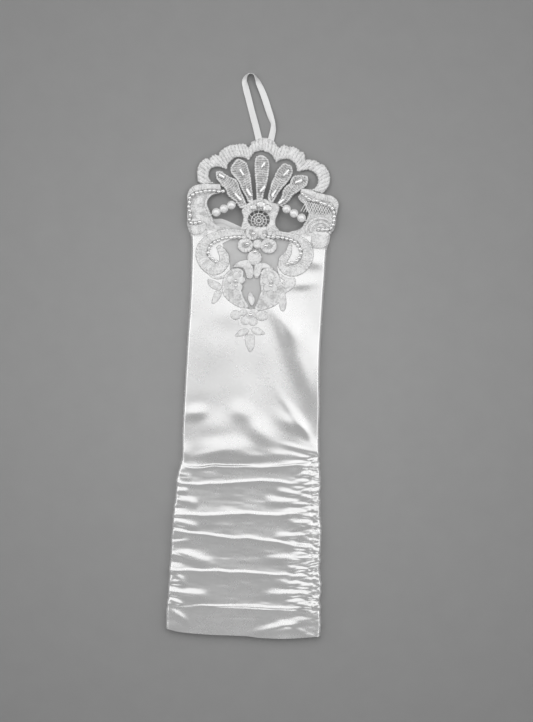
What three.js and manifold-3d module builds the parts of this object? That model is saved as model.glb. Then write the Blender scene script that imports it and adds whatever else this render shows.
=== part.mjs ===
// Fingerless bridal glove: satin sleeve with a gathered forearm, beaded lace crown over the
// back of the hand and a finger loop. It lies flat, back of the hand up.
// Millimetres. +Z up, +Y along the glove towards the fingers, +X to the right.
// Origin: middle of the footprint, on the surface that the palm side lies on.
import * as THREE from 'three';
import { mergeVertices } from 'three/addons/utils/BufferGeometryUtils.js';
import Module from 'manifold-3d';

// ---- driving dimensions -------------------------------------------------------------
const WALL = 0.8;              // satin panel thickness with its lining
const TOP = 7.0;               // top of the front panel above the table
const GAP = 0.3;               // running gap between neighbouring pieces
const SECTION_HALF = 45;       // half width that the cross-section is drawn at
const WRIST_Y = -10;           // fold line at the wrist
const WRIST_CLEAR = 2.4;       // each side of the wrist fold line
const CROWN_Y = 79.75;         // fold line where the single-layer lace crown starts
const CROWN_CLEAR = 1.0;       // each side of the crown fold line
const CROWN_Z = 6.6;           // height of the crown's fold line
const CROWN_DROOP = 5.6;       // degrees, the crown slopes down to the table
const LOOP_Z = 0.8;            // ribbon thickness of the finger loop
const HEM_TOP = -163.9;        // upper edge of the smooth hem band
const LACE_Z = 7.3;            // underside of the lace sewn on the front panel
const LACE_T = 1.0;            // thickness of the corded lace
const SEED_R = 1.3;            // seed bead radius
const THREAD_R = 0.35;         // beading thread radius
const PEARL_R = 2.5;           // large pearl radius
const PEARL_BORE = 0.5;        // bore radius of a large pearl
const PEARL_THREAD = 0.4;      // thread radius through the large pearls
const CRYSTAL_R = [2.0, 2.4, 2.1];

const wasm = await Module();
wasm.setup();

// side edges of the sleeve: [y, x left, x right]
const EDGES = [[-181, -49.8, 50.8], [-173, -50.1, 50.8], [-162.7, -50.3, 50.3], [-152, -49.7, 50.0], [-142, -49.9, 49.4],
  [-126, -49.3, 48.4], [-116, -49.3, 48.1], [-105, -49.1, 47.4], [-95, -48.6, 46.4], [-84.5, -48.3, 46.0], [-79.2, -47.2, 45.7],
  [-74, -46.1, 45.1], [-68.7, -45.6, 44.6], [-58.3, -45.8, 43.9], [-48, -46.0, 43.1], [-27, -46.0, 42.6], [-12, -46.0, 41.7],
  [4, -45.9, 41.3], [25, -45.7, 41.4], [51, -45.8, 41.7], [66, -46.2, 42.0], [72, -46.7, 42.1], [77, -47.5, 43.1], [82, -48.6, 44.0]];
// bottom edge of the hem: [x, y]
const HEM = [[-51, -180.9], [-46.4, -181.7], [-38.8, -182.9], [-19.3, -183.4], [3, -183.1], [10.6, -183.8], [25.5, -183.7], [40.4, -182.2], [51, -180.8]];

function lerpTable(t, v, col) {
  if (v <= t[0][0]) return t[0][col];
  for (let i = 1; i < t.length; i++) if (v <= t[i][0]) {
    const a = (v - t[i - 1][0]) / (t[i][0] - t[i - 1][0]);
    return t[i - 1][col] + a * (t[i][col] - t[i - 1][col]);
  }
  return t[t.length - 1][col];
}
const mid = (y) => (lerpTable(EDGES, y, 1) + lerpTable(EDGES, y, 2)) / 2;
const half = (y) => (lerpTable(EDGES, y, 2) - lerpTable(EDGES, y, 1)) / 2;

// ---- materials ----------------------------------------------------------------------
const M = (color, roughness, metalness = 0, extra = {}) => new THREE.MeshStandardMaterial({ color, roughness, metalness, ...extra });
const satin = M(0xe9e8e4, 0.3, 0.1), satinBack = M(0xdeddd8, 0.35, 0.1), lace = M(0xf2f1ed, 0.7), organza = M(0xd2d1cc, 0.6, 0, { transparent: true, opacity: 0.6 });
const pearl = M(0xf1efe8, 0.2, 0.05), crystal = M(0xf4f6f8, 0.05, 0, { transparent: true, opacity: 0.6 }), thread = M(0xeeece6, 0.8), elastic = M(0xe6e4de, 0.8), ribbon = M(0xeceae5, 0.4);

// ---- solids -------------------------------------------------------------------------
function toManifold(geometry) {
  const g = geometry.clone();
  g.deleteAttribute('normal'); g.deleteAttribute('uv');
  const m = mergeVertices(g, 1e-4);
  return new wasm.Manifold(new wasm.Mesh({ numProp: 3, vertProperties: new Float32Array(m.attributes.position.array), triVerts: new Uint32Array(m.index.array) }));
}
function fromManifold(solid) {
  const m = solid.getMesh();
  const g = new THREE.BufferGeometry();
  g.setAttribute('position', new THREE.BufferAttribute(new Float32Array(m.vertProperties), 3));
  g.setIndex(new THREE.BufferAttribute(new Uint32Array(m.triVerts), 1));
  const flat = g.toNonIndexed();
  flat.computeVertexNormals();
  return flat;
}
const unite = (list) => fromManifold(list.map(toManifold).reduce((a, b) => a.add(b)));
const cut = (a, b) => fromManifold(toManifold(a).subtract(toManifold(b)));

function plate(points, z0, z1) {
  const g = new THREE.ExtrudeGeometry(new THREE.Shape(points.map(([x, y]) => new THREE.Vector2(x, y))), { depth: z1 - z0, bevelEnabled: false, curveSegments: 1 });
  g.translate(0, 0, z0);
  return g;
}
// band along a centre line, points [x, y, width]
function band(points, z0, z1) {
  const left = [], right = [];
  points.forEach(([x, y, w], i) => {
    const a = points[Math.max(0, i - 1)], b = points[Math.min(points.length - 1, i + 1)];
    const l = Math.hypot(b[0] - a[0], b[1] - a[1]), nx = -(b[1] - a[1]) / l, ny = (b[0] - a[0]) / l;
    left.push([x + nx * w / 2, y + ny * w / 2]);
    right.push([x - nx * w / 2, y - ny * w / 2]);
  });
  return plate(left.concat(right.reverse()).reverse(), z0, z1);
}
function disc(x, y, rx, ry, z0, z1, n = 12) {
  const p = [];
  for (let i = 0; i < n; i++) p.push([x + rx * Math.cos(2 * Math.PI * i / n), y + ry * Math.sin(2 * Math.PI * i / n)]);
  return plate(p, z0, z1);
}
function ball(x, y, z, r, w = 6, h = 4) {
  const g = new THREE.SphereGeometry(r, w, h);
  g.translate(x, y, z);
  return g;
}
// tube of n sides along points [x, y, z]
function tube(points, r, steps, n = 6) {
  const shape = new THREE.Shape();
  for (let i = 0; i < n; i++) {
    const a = 2 * Math.PI * i / n;
    if (i) shape.lineTo(r * Math.cos(a), r * Math.sin(a)); else shape.moveTo(r * Math.cos(a), r * Math.sin(a));
  }
  return new THREE.ExtrudeGeometry(shape, { steps, bevelEnabled: false, curveSegments: 1, extrudePath: new THREE.CatmullRomCurve3(points.map((p) => new THREE.Vector3(...p))) });
}
// rod of n sides between two points
function rod(a, b, r, n = 8) {
  const va = new THREE.Vector3(...a), vb = new THREE.Vector3(...b), d = vb.clone().sub(va);
  const g = new THREE.CylinderGeometry(r, r, d.length(), n);
  g.applyQuaternion(new THREE.Quaternion().setFromUnitVectors(new THREE.Vector3(0, 1, 0), d.clone().normalize()));
  g.translate((a[0] + b[0]) / 2, (a[1] + b[1]) / 2, (a[2] + b[2]) / 2);
  return g;
}
// length of the sleeve from y0 up to y1, with the cross-section scaled to the side edges
function sleeve(section, y0, y1, steps, followHem = false) {
  const shape = new THREE.Shape(section.map(([x, z]) => new THREE.Vector2(x, z)));
  const g = new THREE.ExtrudeGeometry(shape, { depth: y1 - y0, steps, bevelEnabled: false, curveSegments: 1 });
  const p = g.attributes.position;
  for (let i = 0; i < p.count; i++) {
    const X = p.getX(i), Z = p.getY(i), t = p.getZ(i) / (y1 - y0);
    let y = y1 - t * (y1 - y0);
    const x = mid(y) + X * half(y) / SECTION_HALF;
    if (followHem) y = y1 + t * (lerpTable(HEM, x, 1) - y1);
    p.setXYZ(i, x, y, Z);
  }
  g.computeVertexNormals();
  return g;
}
const FRONT = [[-45, 1.1], [-45, 2.6], [-42.4, 5.4], [-38.7, TOP], [-20, TOP], [0, TOP], [20, TOP], [38.7, TOP], [42.4, 5.4], [45, 2.6], [45, 1.1],
  [44, 1.1], [43.9, 2.2], [41.6, 4.7], [38.3, TOP - WALL], [20, TOP - WALL], [0, TOP - WALL], [-20, TOP - WALL], [-38.3, TOP - WALL], [-41.6, 4.7], [-43.9, 2.2], [-44, 1.1]].reverse();
const BACK = [[-44.9, 0], [-20, 0], [0, 0], [20, 0], [44.9, 0], [44.9, WALL], [20, WALL], [0, WALL], [-20, WALL], [-44.9, WALL]];
const stripSection = (x0, x1, z0, z1) => [[x0, z0], [x1, z0], [x1, z1], [x0, z1]];

const glove = new THREE.Group();
function add(parent, name, geometry, material) {
  const m = new THREE.Mesh(geometry, material);
  m.name = name;
  parent.add(m);
  return m;
}

// ---- forearm ------------------------------------------------------------------------
const forearmTop = WRIST_Y - WRIST_CLEAR, handBottom = WRIST_Y + WRIST_CLEAR, handTop = CROWN_Y - CROWN_CLEAR;
add(glove, 'forearm_front_panel', sleeve(FRONT, HEM_TOP + GAP, forearmTop, 14), satin);
add(glove, 'forearm_palm_panel', sleeve(BACK, HEM_TOP + GAP, forearmTop, 14), satinBack);
add(glove, 'hem_band_front', sleeve(FRONT, -183.8, HEM_TOP, 2, true), satin);
add(glove, 'hem_band_palm', sleeve(BACK, -183.8, HEM_TOP, 2, true), satinBack);
// seam allowances, folded inside along both side edges
add(glove, 'side_seam_left_forearm', sleeve(stripSection(-43.4, -40.4, 1.1, 1.9), HEM_TOP + 4, forearmTop - 1, 10), satinBack);
add(glove, 'side_seam_right_forearm', sleeve(stripSection(40.4, 43.4, 1.1, 1.9), HEM_TOP + 4, forearmTop - 1, 10), satinBack);
// elastic tape that gathers the right side, sewn on the seam allowance
add(glove, 'gathering_elastic', sleeve(stripSection(39.8, 42.2, 2.2, 2.9), HEM_TOP + 6, -57, 8), elastic);

// ---- hand ---------------------------------------------------------------------------
const WINDOW = [[-26, 70.6], [-24.5, 65.2], [-21.2, 58.8], [-20.3, 53.7], [-21.7, 49], [-20.4, 42.6], [-16.8, 36.3], [-10.7, 31.1], [-5.7, 28.7], [-0.3, 31.3], [5.4, 35.2], [10.9, 41.6], [12.5, 48.9], [10.4, 56.6], [12.3, 63.9], [15.7, 68.6], [17.8, 73.4], [10.4, 75.8], [-0.6, 75.7], [-11, 74.9], [-20.1, 73.7]];
const INSET = [[-25.64, 70.42], [-24.13, 65.35], [-20.82, 58.94], [-19.9, 53.68], [-21.3, 49], [-20.03, 42.74], [-16.49, 36.56], [-10.47, 31.43], [-5.71, 29.1], [-0.5, 31.65], [5.13, 35.49], [10.54, 41.78], [12.1, 48.89], [10, 56.59], [11.93, 64.06], [15.35, 68.8], [17.48, 73.16], [10.35, 75.4], [-0.58, 75.3], [-10.96, 74.5], [-19.99, 73.32]];
add(glove, 'hand_front_panel', cut(sleeve(FRONT, handBottom, handTop, 8), plate(WINDOW, 4.5, 8)), satin);
add(glove, 'organza_inset', plate(INSET, 6.4, 6.8), organza);
add(glove, 'hand_palm_panel', sleeve(BACK, handBottom, 74.6, 8), satinBack);
add(glove, 'palm_top_hem', sleeve(BACK.map(([x, z]) => [x, z > 0 ? 1.1 : 0]), 74.9, 77.2, 1), satinBack);
add(glove, 'side_seam_left_hand', sleeve(stripSection(-43.4, -40.4, 1.4, 2.1), handBottom + 1, 75, 6), satinBack);
add(glove, 'side_seam_right_hand', sleeve(stripSection(40.4, 43.4, 1.4, 2.1), handBottom + 1, 75, 6), satinBack);

const L0 = LACE_Z, L1 = LACE_Z + LACE_T, BEAD_Z = L1 + GAP + SEED_R;
add(glove, 'scroll_left', band([[-12.8, 76.3, 4.0], [-20, 76.2, 4.4], [-27, 75.9, 4.8], [-33, 74.0, 5.2], [-37.4, 70.6, 6], [-39.6, 65.5, 6.4], [-39.2, 60, 6.4],
  [-36.2, 55.4, 6.4], [-31.6, 52.6, 6], [-26.8, 53.2, 5], [-23.6, 56.6, 4.4], [-23.2, 60.6, 4], [-24.6, 64.4, 3.4], [-26.2, 68.6, 2]], L0, L1), lace);
add(glove, 'scroll_right', band([[9.5, 76.6, 3.4], [15, 76.7, 3.6], [21, 76.2, 4], [26.5, 74.0, 4.8], [30, 70.4, 5.6], [31, 66, 5.8], [29.8, 61, 5.8], [27, 56.6, 5.8],
  [22.6, 54.2, 5.4], [17.6, 54.4, 4.8], [13.8, 57.2, 4.4], [13.2, 61, 4], [15, 64.2, 3.2], [16.6, 67.5, 2.4], [17.3, 71.2, 1.8]], L0, L1), lace);
const handCut = new THREE.BoxGeometry(200, 40, 60);
handCut.translate(0, handTop + 20, 0);
add(glove, 'centre_flower', cut(unite([disc(-6.3, 76.2, 4.0, 4.0, L0, L1), disc(-10.75, 69.8, 4.3, 4.3, L0, L1), disc(-4.77, 62.7, 3.5, 3.5, L0, L1),
  disc(3.53, 70.54, 4.3, 4.3, L0, L1), disc(1.1, 76.5, 3.9, 3.9, L0, L1), disc(-3.6, 70.6, 5.2, 5.2, L0, L1)]), handCut), lace);
add(glove, 'leaf_pair', unite([
  plate([[-18.1, 56.13], [-15.7, 58.4], [-12.2, 59.8], [-9.2, 59.9], [-7.3, 58], [-5.45, 55.69], [-4.9, 51.42], [-6.2, 48.81], [-8.75, 49.07], [-9.54, 50.46], [-10.38, 52.89], [-11.54, 55.04], [-13.78, 55.64]].reverse(), L0, L1),
  plate([[-3.46, 58.0], [-0.37, 58.8], [3.23, 58.8], [5.85, 57.32], [7.7, 55.66], [6.3, 55.07], [2.68, 55.72], [0.17, 55.27], [-0.68, 51.58], [-2.76, 48.99], [-4.51, 51.38], [-4.4, 56.78]].reverse(), L0, L1),
  disc(-4.7, 51.6, 1.6, 1.6, L0, L1, 8)]), lace);
const flower4 = (x, y) => unite([disc(x, y + 3.6, 2.6, 3.1, L0, L1), disc(x, y - 3.6, 2.6, 3.1, L0, L1), disc(x - 2.8, y, 2.5, 2.3, L0, L1), disc(x + 2.8, y, 2.5, 2.3, L0, L1), disc(x, y, 2.2, 2.2, L0, L1, 8)]);
add(glove, 'side_flower_left', flower4(-16.0, 45.6), lace);
add(glove, 'side_flower_right', flower4(6.55, 46.6), lace);
add(glove, 'lower_lace_left', unite([
  band([[-33.7, 46.5, 2], [-33.4, 43.4, 2.4], [-31, 41.2, 2.6], [-27.4, 40.0, 2.6], [-24.0, 37.0, 2.6], [-20.9, 34, 2.6], [-17.9, 32.4, 2.6], [-15.3, 30.8, 2.4], [-12.4, 30, 2.2], [-9.5, 29.8, 2]], L0, L1),
  plate([[-29.8, 40.6], [-30.11, 35.71], [-30.82, 31.71], [-28.35, 31.84], [-26.29, 34.81], [-25.6, 38.6]], L0, L1)]), lace);
add(glove, 'lower_lace_right', unite([
  band([[21.7, 49.2, 2], [22.8, 45.7, 2.4], [21.3, 42.7, 2.6], [18.5, 41.2, 2.6], [15.2, 39.6, 2.6], [13.2, 36.8, 2.6], [11.3, 33.4, 2.6], [8.6, 31.2, 2.4], [5.5, 30, 2.2]], L0, L1),
  plate([[13.3, 38], [13.57, 29.35], [16.62, 29.51], [16.75, 34.53], [15.4, 39.2]], L0, L1)]), lace);
add(glove, 'centre_leaf', plate([[-6.44, 39.75], [-4.18, 37.59], [-3.16, 34.39], [-4.88, 31.05], [-7.25, 34.18], [-7.75, 37.41]].reverse(), L0, L1), lace);
add(glove, 'pendant_flower', unite([disc(-15, 24.6, 3.2, 3.0, L0, L1), disc(-10.4, 24.8, 3.2, 2.6, L0, L1), disc(-5.3, 25.3, 3.4, 3.2, L0, L1), disc(1.4, 25.0, 4.2, 2.7, L0, L1), disc(-6.4, 21.2, 4.5, 3.2, L0, L1)]), lace);
add(glove, 'lower_spray', unite([
  plate([[-14.5, 11.02], [-11.96, 14.73], [-9.29, 15.98], [-6.18, 15.03], [-7.17, 12.77], [-10.41, 11.23]].reverse(), L0, L1),
  plate([[-4.4, 15.6], [-1.1, 17.0], [1.71, 15.97], [4.29, 13.89], [3.24, 12.79], [-0.59, 12.59], [-2.84, 13.0]].reverse(), L0, L1),
  plate([[-7.84, 13.2], [-7.7, 6.69], [-6.17, 3.51], [-4.67, 1.12], [-3.06, 2.57], [-1.97, 5.36], [-2.07, 9.78], [-2.6, 13.2]], L0, L1),
  disc(-5.4, 13.8, 2.2, 1.8, L0, L1, 8)]), lace);

function beadString(points, z, r = SEED_R) {
  const path = points.map(([x, y]) => [x, y, z]);
  return unite([tube(path, THREAD_R, points.length - 1, 5)].concat(path.map(([x, y, zz]) => ball(x, y, zz, r))));
}
add(glove, 'scroll_beads_left', beadString([[-12.6, 75.1], [-15.4, 75.2], [-18.4, 75.1], [-21.5, 74.5], [-24.5, 73.9], [-27.6, 72.7], [-30.6, 71.1], [-33.2, 68.9], [-34.6, 66.0], [-34.5, 62.7], [-32.2, 60.3], [-29.4, 58.4]], BEAD_Z), pearl);
add(glove, 'scroll_beads_right', beadString([[4.4, 76.2], [7.3, 76.4], [10.2, 76.4], [13.2, 76.1], [16.4, 75.5], [19.5, 74.4], [22.2, 72.7], [24.0, 70.1], [25.1, 67.2], [24.2, 64.1], [22.1, 61.7], [19.4, 60.4], [16.6, 59.4]], BEAD_Z), pearl);
add(glove, 'centre_flower_beads', beadString([[-5.9, 76.2], [-9.9, 70.95], [-4.57, 66.15], [2.44, 70.29]], BEAD_Z, 1.25), pearl);
add(glove, 'side_beads_left', beadString([[-16.06, 47.3], [-15.87, 43.3]], BEAD_Z, 1.2), pearl);
add(glove, 'side_beads_right', beadString([[6.5, 48.4], [6.6, 44.5]], BEAD_Z, 1.2), pearl);
add(glove, 'pendant_bead', ball(-5.3, 25.3, BEAD_Z + 0.1, 1.4, 8, 6), pearl);

// ---- crown: single layer of lace, its own plane at z = 0 of this group -----------------
const crown = new THREE.Group();
crown.position.set(0, CROWN_Y, CROWN_Z);
crown.rotation.x = -THREE.MathUtils.degToRad(CROWN_DROOP);
glove.add(crown);
const K = (pts) => pts.map(([x, y, ...r]) => [x, y - CROWN_Y, ...r]);

const TAB_L = [[-31, 107.9], [-40.9, 107.9], [-44.84, 107.6], [-47.52, 106.8], [-49.7, 104.9], [-50.8, 102.45], [-50.75, 97.3], [-50.3, 92.2], [-49.83, 85.3], [-48.9, 83.0], [-48.2, 80.85],
  [-33.6, 80.85], [-32.4, 83.66], [-34.6, 89.4], [-36.1, 92.56], [-37.6, 94.6], [-37.7, 97], [-36.5, 100.4], [-32.9, 102.0], [-29, 102.7], [-26.9, 103.4], [-28, 107]];
const TAB_R = [[24, 107.9], [27.9, 107.3], [30.6, 106.1], [34.8, 105.0], [38.3, 105.2], [42.14, 105.0], [44.92, 104.2], [46.71, 102.42], [47.86, 100.4], [46.92, 98.33], [46.6, 93.8], [46.67, 87], [45.61, 84.86], [44.4, 83.06],
  [43.9, 80.85], [22.2, 80.85], [22.4, 82.4], [25.0, 84.3], [26.6, 87.2], [28.0, 91.8], [28.6, 93.6], [26.5, 95.4], [25.7, 98.7], [23.2, 100.4], [20.6, 101.7], [20.8, 104.6], [23.0, 106.4]];
add(crown, 'corner_tab_left', plate(K(TAB_L), -0.4, 0.2), satin);
add(crown, 'corner_tab_right', plate(K(TAB_R).reverse(), -0.4, 0.2), satin);
add(crown, 'corner_lace_left', plate(K(TAB_L), 0.5, 1.4), lace);
add(crown, 'corner_lace_right', plate(K(TAB_R).reverse(), 0.5, 1.4), lace);
const CROWN_BEAD_Z = 1.4 + GAP + SEED_R;
add(crown, 'corner_beads_left', beadString(K([[-27.8, 104.2], [-30.5, 104.2], [-33.3, 104.5], [-36.2, 104.4], [-39.5, 103.9], [-42.6, 103.0], [-45.6, 102.1], [-47.8, 100.2], [-48.9, 97.6], [-49.0, 94.7], [-48.9, 91.8], [-48.3, 88.9], [-47.9, 86.0], [-46.6, 83.5], [-43.8, 82.7], [-41.0, 83.3]]), CROWN_BEAD_Z), pearl);
add(crown, 'corner_beads_right', beadString(K([[24.2, 105.1], [26.8, 103.3], [29.6, 101.9], [32.6, 101.4], [35.6, 100.6], [38.6, 99.6], [41.5, 98.8], [43.9, 97.0], [45.2, 94.3], [45.5, 91.2], [45.3, 88.1], [44.0, 85.4], [41.6, 83.6], [38.7, 83.1], [35.8, 83.0]]), CROWN_BEAD_Z), pearl);

const ring = [];
for (let i = 0; i < 20; i++) ring.push([-3.29 + 4.7 * Math.cos(2 * Math.PI * i / 20), 87.2 + 4.7 * Math.sin(2 * Math.PI * i / 20)]);
add(crown, 'fan_base', cut(plate(K([[-14.0, 80.85], [-13.6, 85.9], [-13.6, 89], [-14.5, 92.2], [-13.4, 93.9], [-11.3, 95.6], [-10.6, 97.4], [-9.2, 97.7], [-7.3, 98.9], [-5.5, 99.9], [-3.5, 99.4], [-1.4, 100.2],
  [0.6, 100.2], [1.9, 99.2], [3.3, 97.8], [5.6, 98.6], [8.0, 97.4], [9.2, 96.0], [8.8, 94.2], [8.0, 90.1], [7.2, 87], [7.6, 84.2], [9.6, 81.5], [9.8, 80.85]]).reverse(), -0.4, 0.8), plate(K(ring), -2, 2)), lace);
[[-7.17, 94.6], [-2.39, 96.4], [1.95, 94.3]].forEach(([x, y], i) => {
  const r = CRYSTAL_R[i];
  const g = new THREE.LatheGeometry([[0, 0], [r * 0.62, 0], [r, 0.9], [r * 0.94, 1.5], [r * 0.5, 2.2], [0, 2.2]].map(([a, b]) => new THREE.Vector2(a, b)), 10);
  g.rotateX(Math.PI / 2);
  g.translate(x, y - CROWN_Y, 1.1);
  add(crown, `crystal_${i + 1}`, g, crystal);
});

const BORDER_OUT = [[-40.65, 108.6], [-43.58, 109.99], [-44.58, 113.06], [-44.76, 116.44], [-44.4, 119.58], [-43.36, 121.98], [-41.07, 124.38], [-39.24, 125.45], [-37.31, 124.57], [-36.87, 126.1], [-35.25, 127.55], [-33.59, 128.15], [-31.68, 127.6],
  [-31.26, 129.51], [-29.67, 131.61], [-27.67, 133.09], [-25.01, 134.46], [-22.31, 135.12], [-19.92, 135.58], [-17.55, 136.22], [-15.13, 136.02], [-13.37, 134.68], [-12.49, 134.08], [-11.32, 135.31], [-10.78, 137.42], [-8.45, 138.91], [-6.61, 139.98], [-2.75, 140.84],
  [1.18, 140.39], [4.07, 138.52], [4.86, 137.2], [6.31, 135.58], [7.72, 134.81], [8.34, 135.36], [10.34, 136.84], [11.73, 136.39], [14.17, 135.8], [17.56, 135.85], [20.04, 134.41], [20.83, 132.89], [23.24, 133.02], [24.34, 130.67], [24.88, 127.64], [26.88, 128.07],
  [30.01, 127.91], [32.04, 127.69], [34.55, 125.74], [36.99, 125.21], [39.14, 122.59], [40.73, 119.55], [41.37, 116.2], [41.08, 113.06], [39.79, 110.26], [38.52, 108.5], [37.24, 106.9]];
const BORDER_IN = [[-33.28, 108.9], [-35.38, 110.1], [-36.83, 111.71], [-37.59, 113.76], [-37.59, 116.16], [-36.98, 118.21], [-35.55, 119.66], [-33.19, 120.49], [-30.46, 120.64], [-28.02, 119.92], [-25.9, 119.31], [-25.99, 120.87], [-25.25, 122.93], [-23.8, 125.09],
  [-22.18, 126.54], [-19.82, 127.51], [-17.1, 127.65], [-14.67, 127.26], [-12.6, 126.2], [-11.86, 125.91], [-11.12, 127.84], [-9.36, 130.27], [-7.04, 131.95], [-4.67, 132.6], [-2.79, 132.89], [-1.06, 132.14], [0.66, 131.58], [3.15, 129.95], [4.63, 127.94], [5.85, 125.8],
  [6.81, 126.04], [8.12, 127.09], [10.49, 127.93], [12.82, 128.18], [15.26, 127.46], [17.41, 126.21], [19.07, 124.28], [19.65, 121.9], [20.46, 120.18], [22.82, 121.02], [25.21, 121.47], [27.93, 121.62], [30.39, 120.7], [32.51, 118.8], [33.85, 116.78], [34.11, 114.39], [33.58, 112.02], [32.33, 110.3], [30.8, 109.2]];
add(crown, 'scallop_border', plate(K(BORDER_OUT.concat(BORDER_IN.slice().reverse())).reverse(), -0.4, 0.8), lace);

const PETALS = [
  [[-32.67, 115.51], [-32.3, 117.09], [-29.59, 117.62], [-27.1, 116.0], [-23.94, 114.15], [-19.76, 112.61], [-17.71, 109.46], [-16.27, 105.63], [-14.02, 101.19], [-11.68, 96.24], [-13.67, 94.6], [-16.07, 94.32], [-18.6, 97.96], [-21.43, 99.83], [-24.37, 102.47], [-26.27, 106.47], [-28.37, 108.05], [-30.25, 110.36], [-32.0, 112.62]],
  [[-20.41, 125.07], [-18.9, 126.0], [-17.0, 125.77], [-13.45, 123.94], [-11.53, 119.55], [-10.24, 114.86], [-9.33, 109.77], [-8.72, 105.7], [-7.75, 99.57], [-9.31, 98.3], [-10.96, 98.75], [-12.71, 102.24], [-15.69, 107.03], [-17.59, 111.03], [-20.16, 113.95], [-22.29, 116.25], [-23.35, 118.93], [-22.58, 121.7]],
  [[-4.11, 129.37], [-1.12, 128.36], [1.16, 125.74], [1.56, 120.56], [1.18, 115.46], [0.41, 110.28], [-1.01, 105.06], [-1.51, 100.87], [-3.48, 100.2], [-5.4, 100.67], [-6.13, 108.44], [-7.06, 114.9], [-7.85, 121.37], [-7.69, 126.91], [-6.03, 128.75]],
  [[11.1, 124.83], [13.41, 124.3], [15.86, 123.39], [16.83, 121.03], [16.78, 118.3], [15.27, 114.83], [13.34, 111.93], [10.77, 108.74], [8.89, 106.23], [6.99, 102.75], [5.48, 99.3], [3.44, 98.6], [1.9, 101.77], [2.8, 106.95], [3.49, 111.09], [5.27, 115.68], [6.46, 119.12], [8.68, 122.69]],
  [[17.21, 116.3], [20.6, 117.46], [24.36, 117.85], [26.95, 116.81], [27.29, 114.03], [26.39, 111.25], [24.47, 109.46], [20.2, 106.4], [17.6, 104.5], [15.6, 101.6], [14.02, 98.95], [10.94, 96.97], [8.5, 98.0], [10.11, 101.48], [11.01, 104.33], [11.23, 106.36], [13.12, 109.9], [15.44, 111.72]]];
const BUGLES = [[[-30.17, 114.99], [-27.36, 113.58], [-19.26, 103.07], [-15.6, 99.16]], [[-16.97, 118.94], [-14.57, 115.48], [-12.02, 106.5], [-8.93, 102.24]], [[-1.49, 124.17], [-3.42, 121.21], [-0.9, 108.86], [-3.43, 105.26]],
  [[14.27, 120.25], [11.21, 116.64], [6.47, 106.5], [4.39, 102.61]], [[22.86, 114.19], [19.29, 112.64], [11.9, 100.92], [9.6, 98.6]]];
PETALS.forEach((p, i) => add(crown, `fan_petal_${i + 1}`, plate(K(p).reverse(), -0.3, 1.0), lace));
BUGLES.forEach((b, i) => {
  const q = K(b).map(([x, y]) => [x, y, 2.2]);
  add(crown, `bugle_beads_${i + 1}`, unite([rod(q[0], q[1], 0.9), rod(q[1], q[2], THREAD_R, 6), rod(q[2], q[3], 0.9)]), crystal);
});

// large pearls, strung across the two open windows on straight threads
function pearlGeometry() {
  const p = [], n = 8, a0 = Math.asin(PEARL_BORE / PEARL_R);
  for (let i = 0; i <= n; i++) { const a = a0 + (Math.PI - 2 * a0) * i / n; p.push(new THREE.Vector2(PEARL_R * Math.sin(a), -PEARL_R * Math.cos(a))); }
  p.push(p[0].clone());
  return new THREE.LatheGeometry(p, 12);
}
const STRINGS = { left: { mid: [-26.3, 92.9], dir: 28.6, pitch: 5.4, from: -9.0, to: 8.4 }, right: { mid: [19.3, 92.2], dir: -28.3, pitch: 5.6, from: -9.6, to: 8.4 } };
for (const [side, s] of Object.entries(STRINGS)) {
  const a = THREE.MathUtils.degToRad(s.dir), c = Math.cos(a), d = Math.sin(a), z = 1.2;
  const at = (t) => [s.mid[0] + t * c, s.mid[1] - CROWN_Y + t * d, z];
  add(crown, `pearl_thread_${side}`, rod(at(s.from), at(s.to), PEARL_THREAD, 12), thread);
  [-1, 0, 1].forEach((k, i) => {
    const m = add(crown, `pearl_${side}_${i + 1}`, pearlGeometry(), pearl);
    m.position.set(...at(k * s.pitch));
    m.rotation.z = a - Math.PI / 2;
  });
}

// ---- finger loop: flat ribbon lying on the table ---------------------------------------
const LOOP_OUT = [[-9.0, 142.5], [-9.3, 144.01], [-10.99, 148.87], [-13.04, 154.55], [-15.43, 161.72], [-17.25, 167.74], [-18.98, 173.51], [-19.56, 175.82], [-18.75, 177.88], [-16.99, 180.31], [-15.13, 183.28], [-13.08, 183.84], [-11.03, 183.23], [-9.2, 181.89],
  [-7.6, 179.6], [-6.1, 177.37], [-3.52, 172.82], [-0.97, 168.92], [1.04, 164.08], [3.31, 159.25], [4.2, 155.77], [4.6, 150.52], [4.42, 146.15], [4.05, 142.5]];
const LOOP_IN = [[-4.6, 142.5], [-5.82, 147.12], [-8.03, 153.38], [-10.47, 161.39], [-12.82, 167.71], [-14.6, 173.6], [-15.0, 176.6], [-14.2, 178.7], [-12.4, 179.4], [-10.8, 178.2], [-9.3, 175.6], [-7.05, 171.6], [-5.2, 167.2], [-3.1, 161.6], [-1.0, 156.6], [0.3, 153.0], [0.6, 149.21], [0.3, 145.97], [0.01, 142.5]];
add(glove, 'finger_loop', plate(LOOP_OUT.concat(LOOP_IN.slice().reverse()).reverse(), 0, LOOP_Z), ribbon);

export default glove;
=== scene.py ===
import bpy, bmesh, math
import numpy as np
from mathutils import Vector, Matrix
from mathutils import geometry as mgeo


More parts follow.
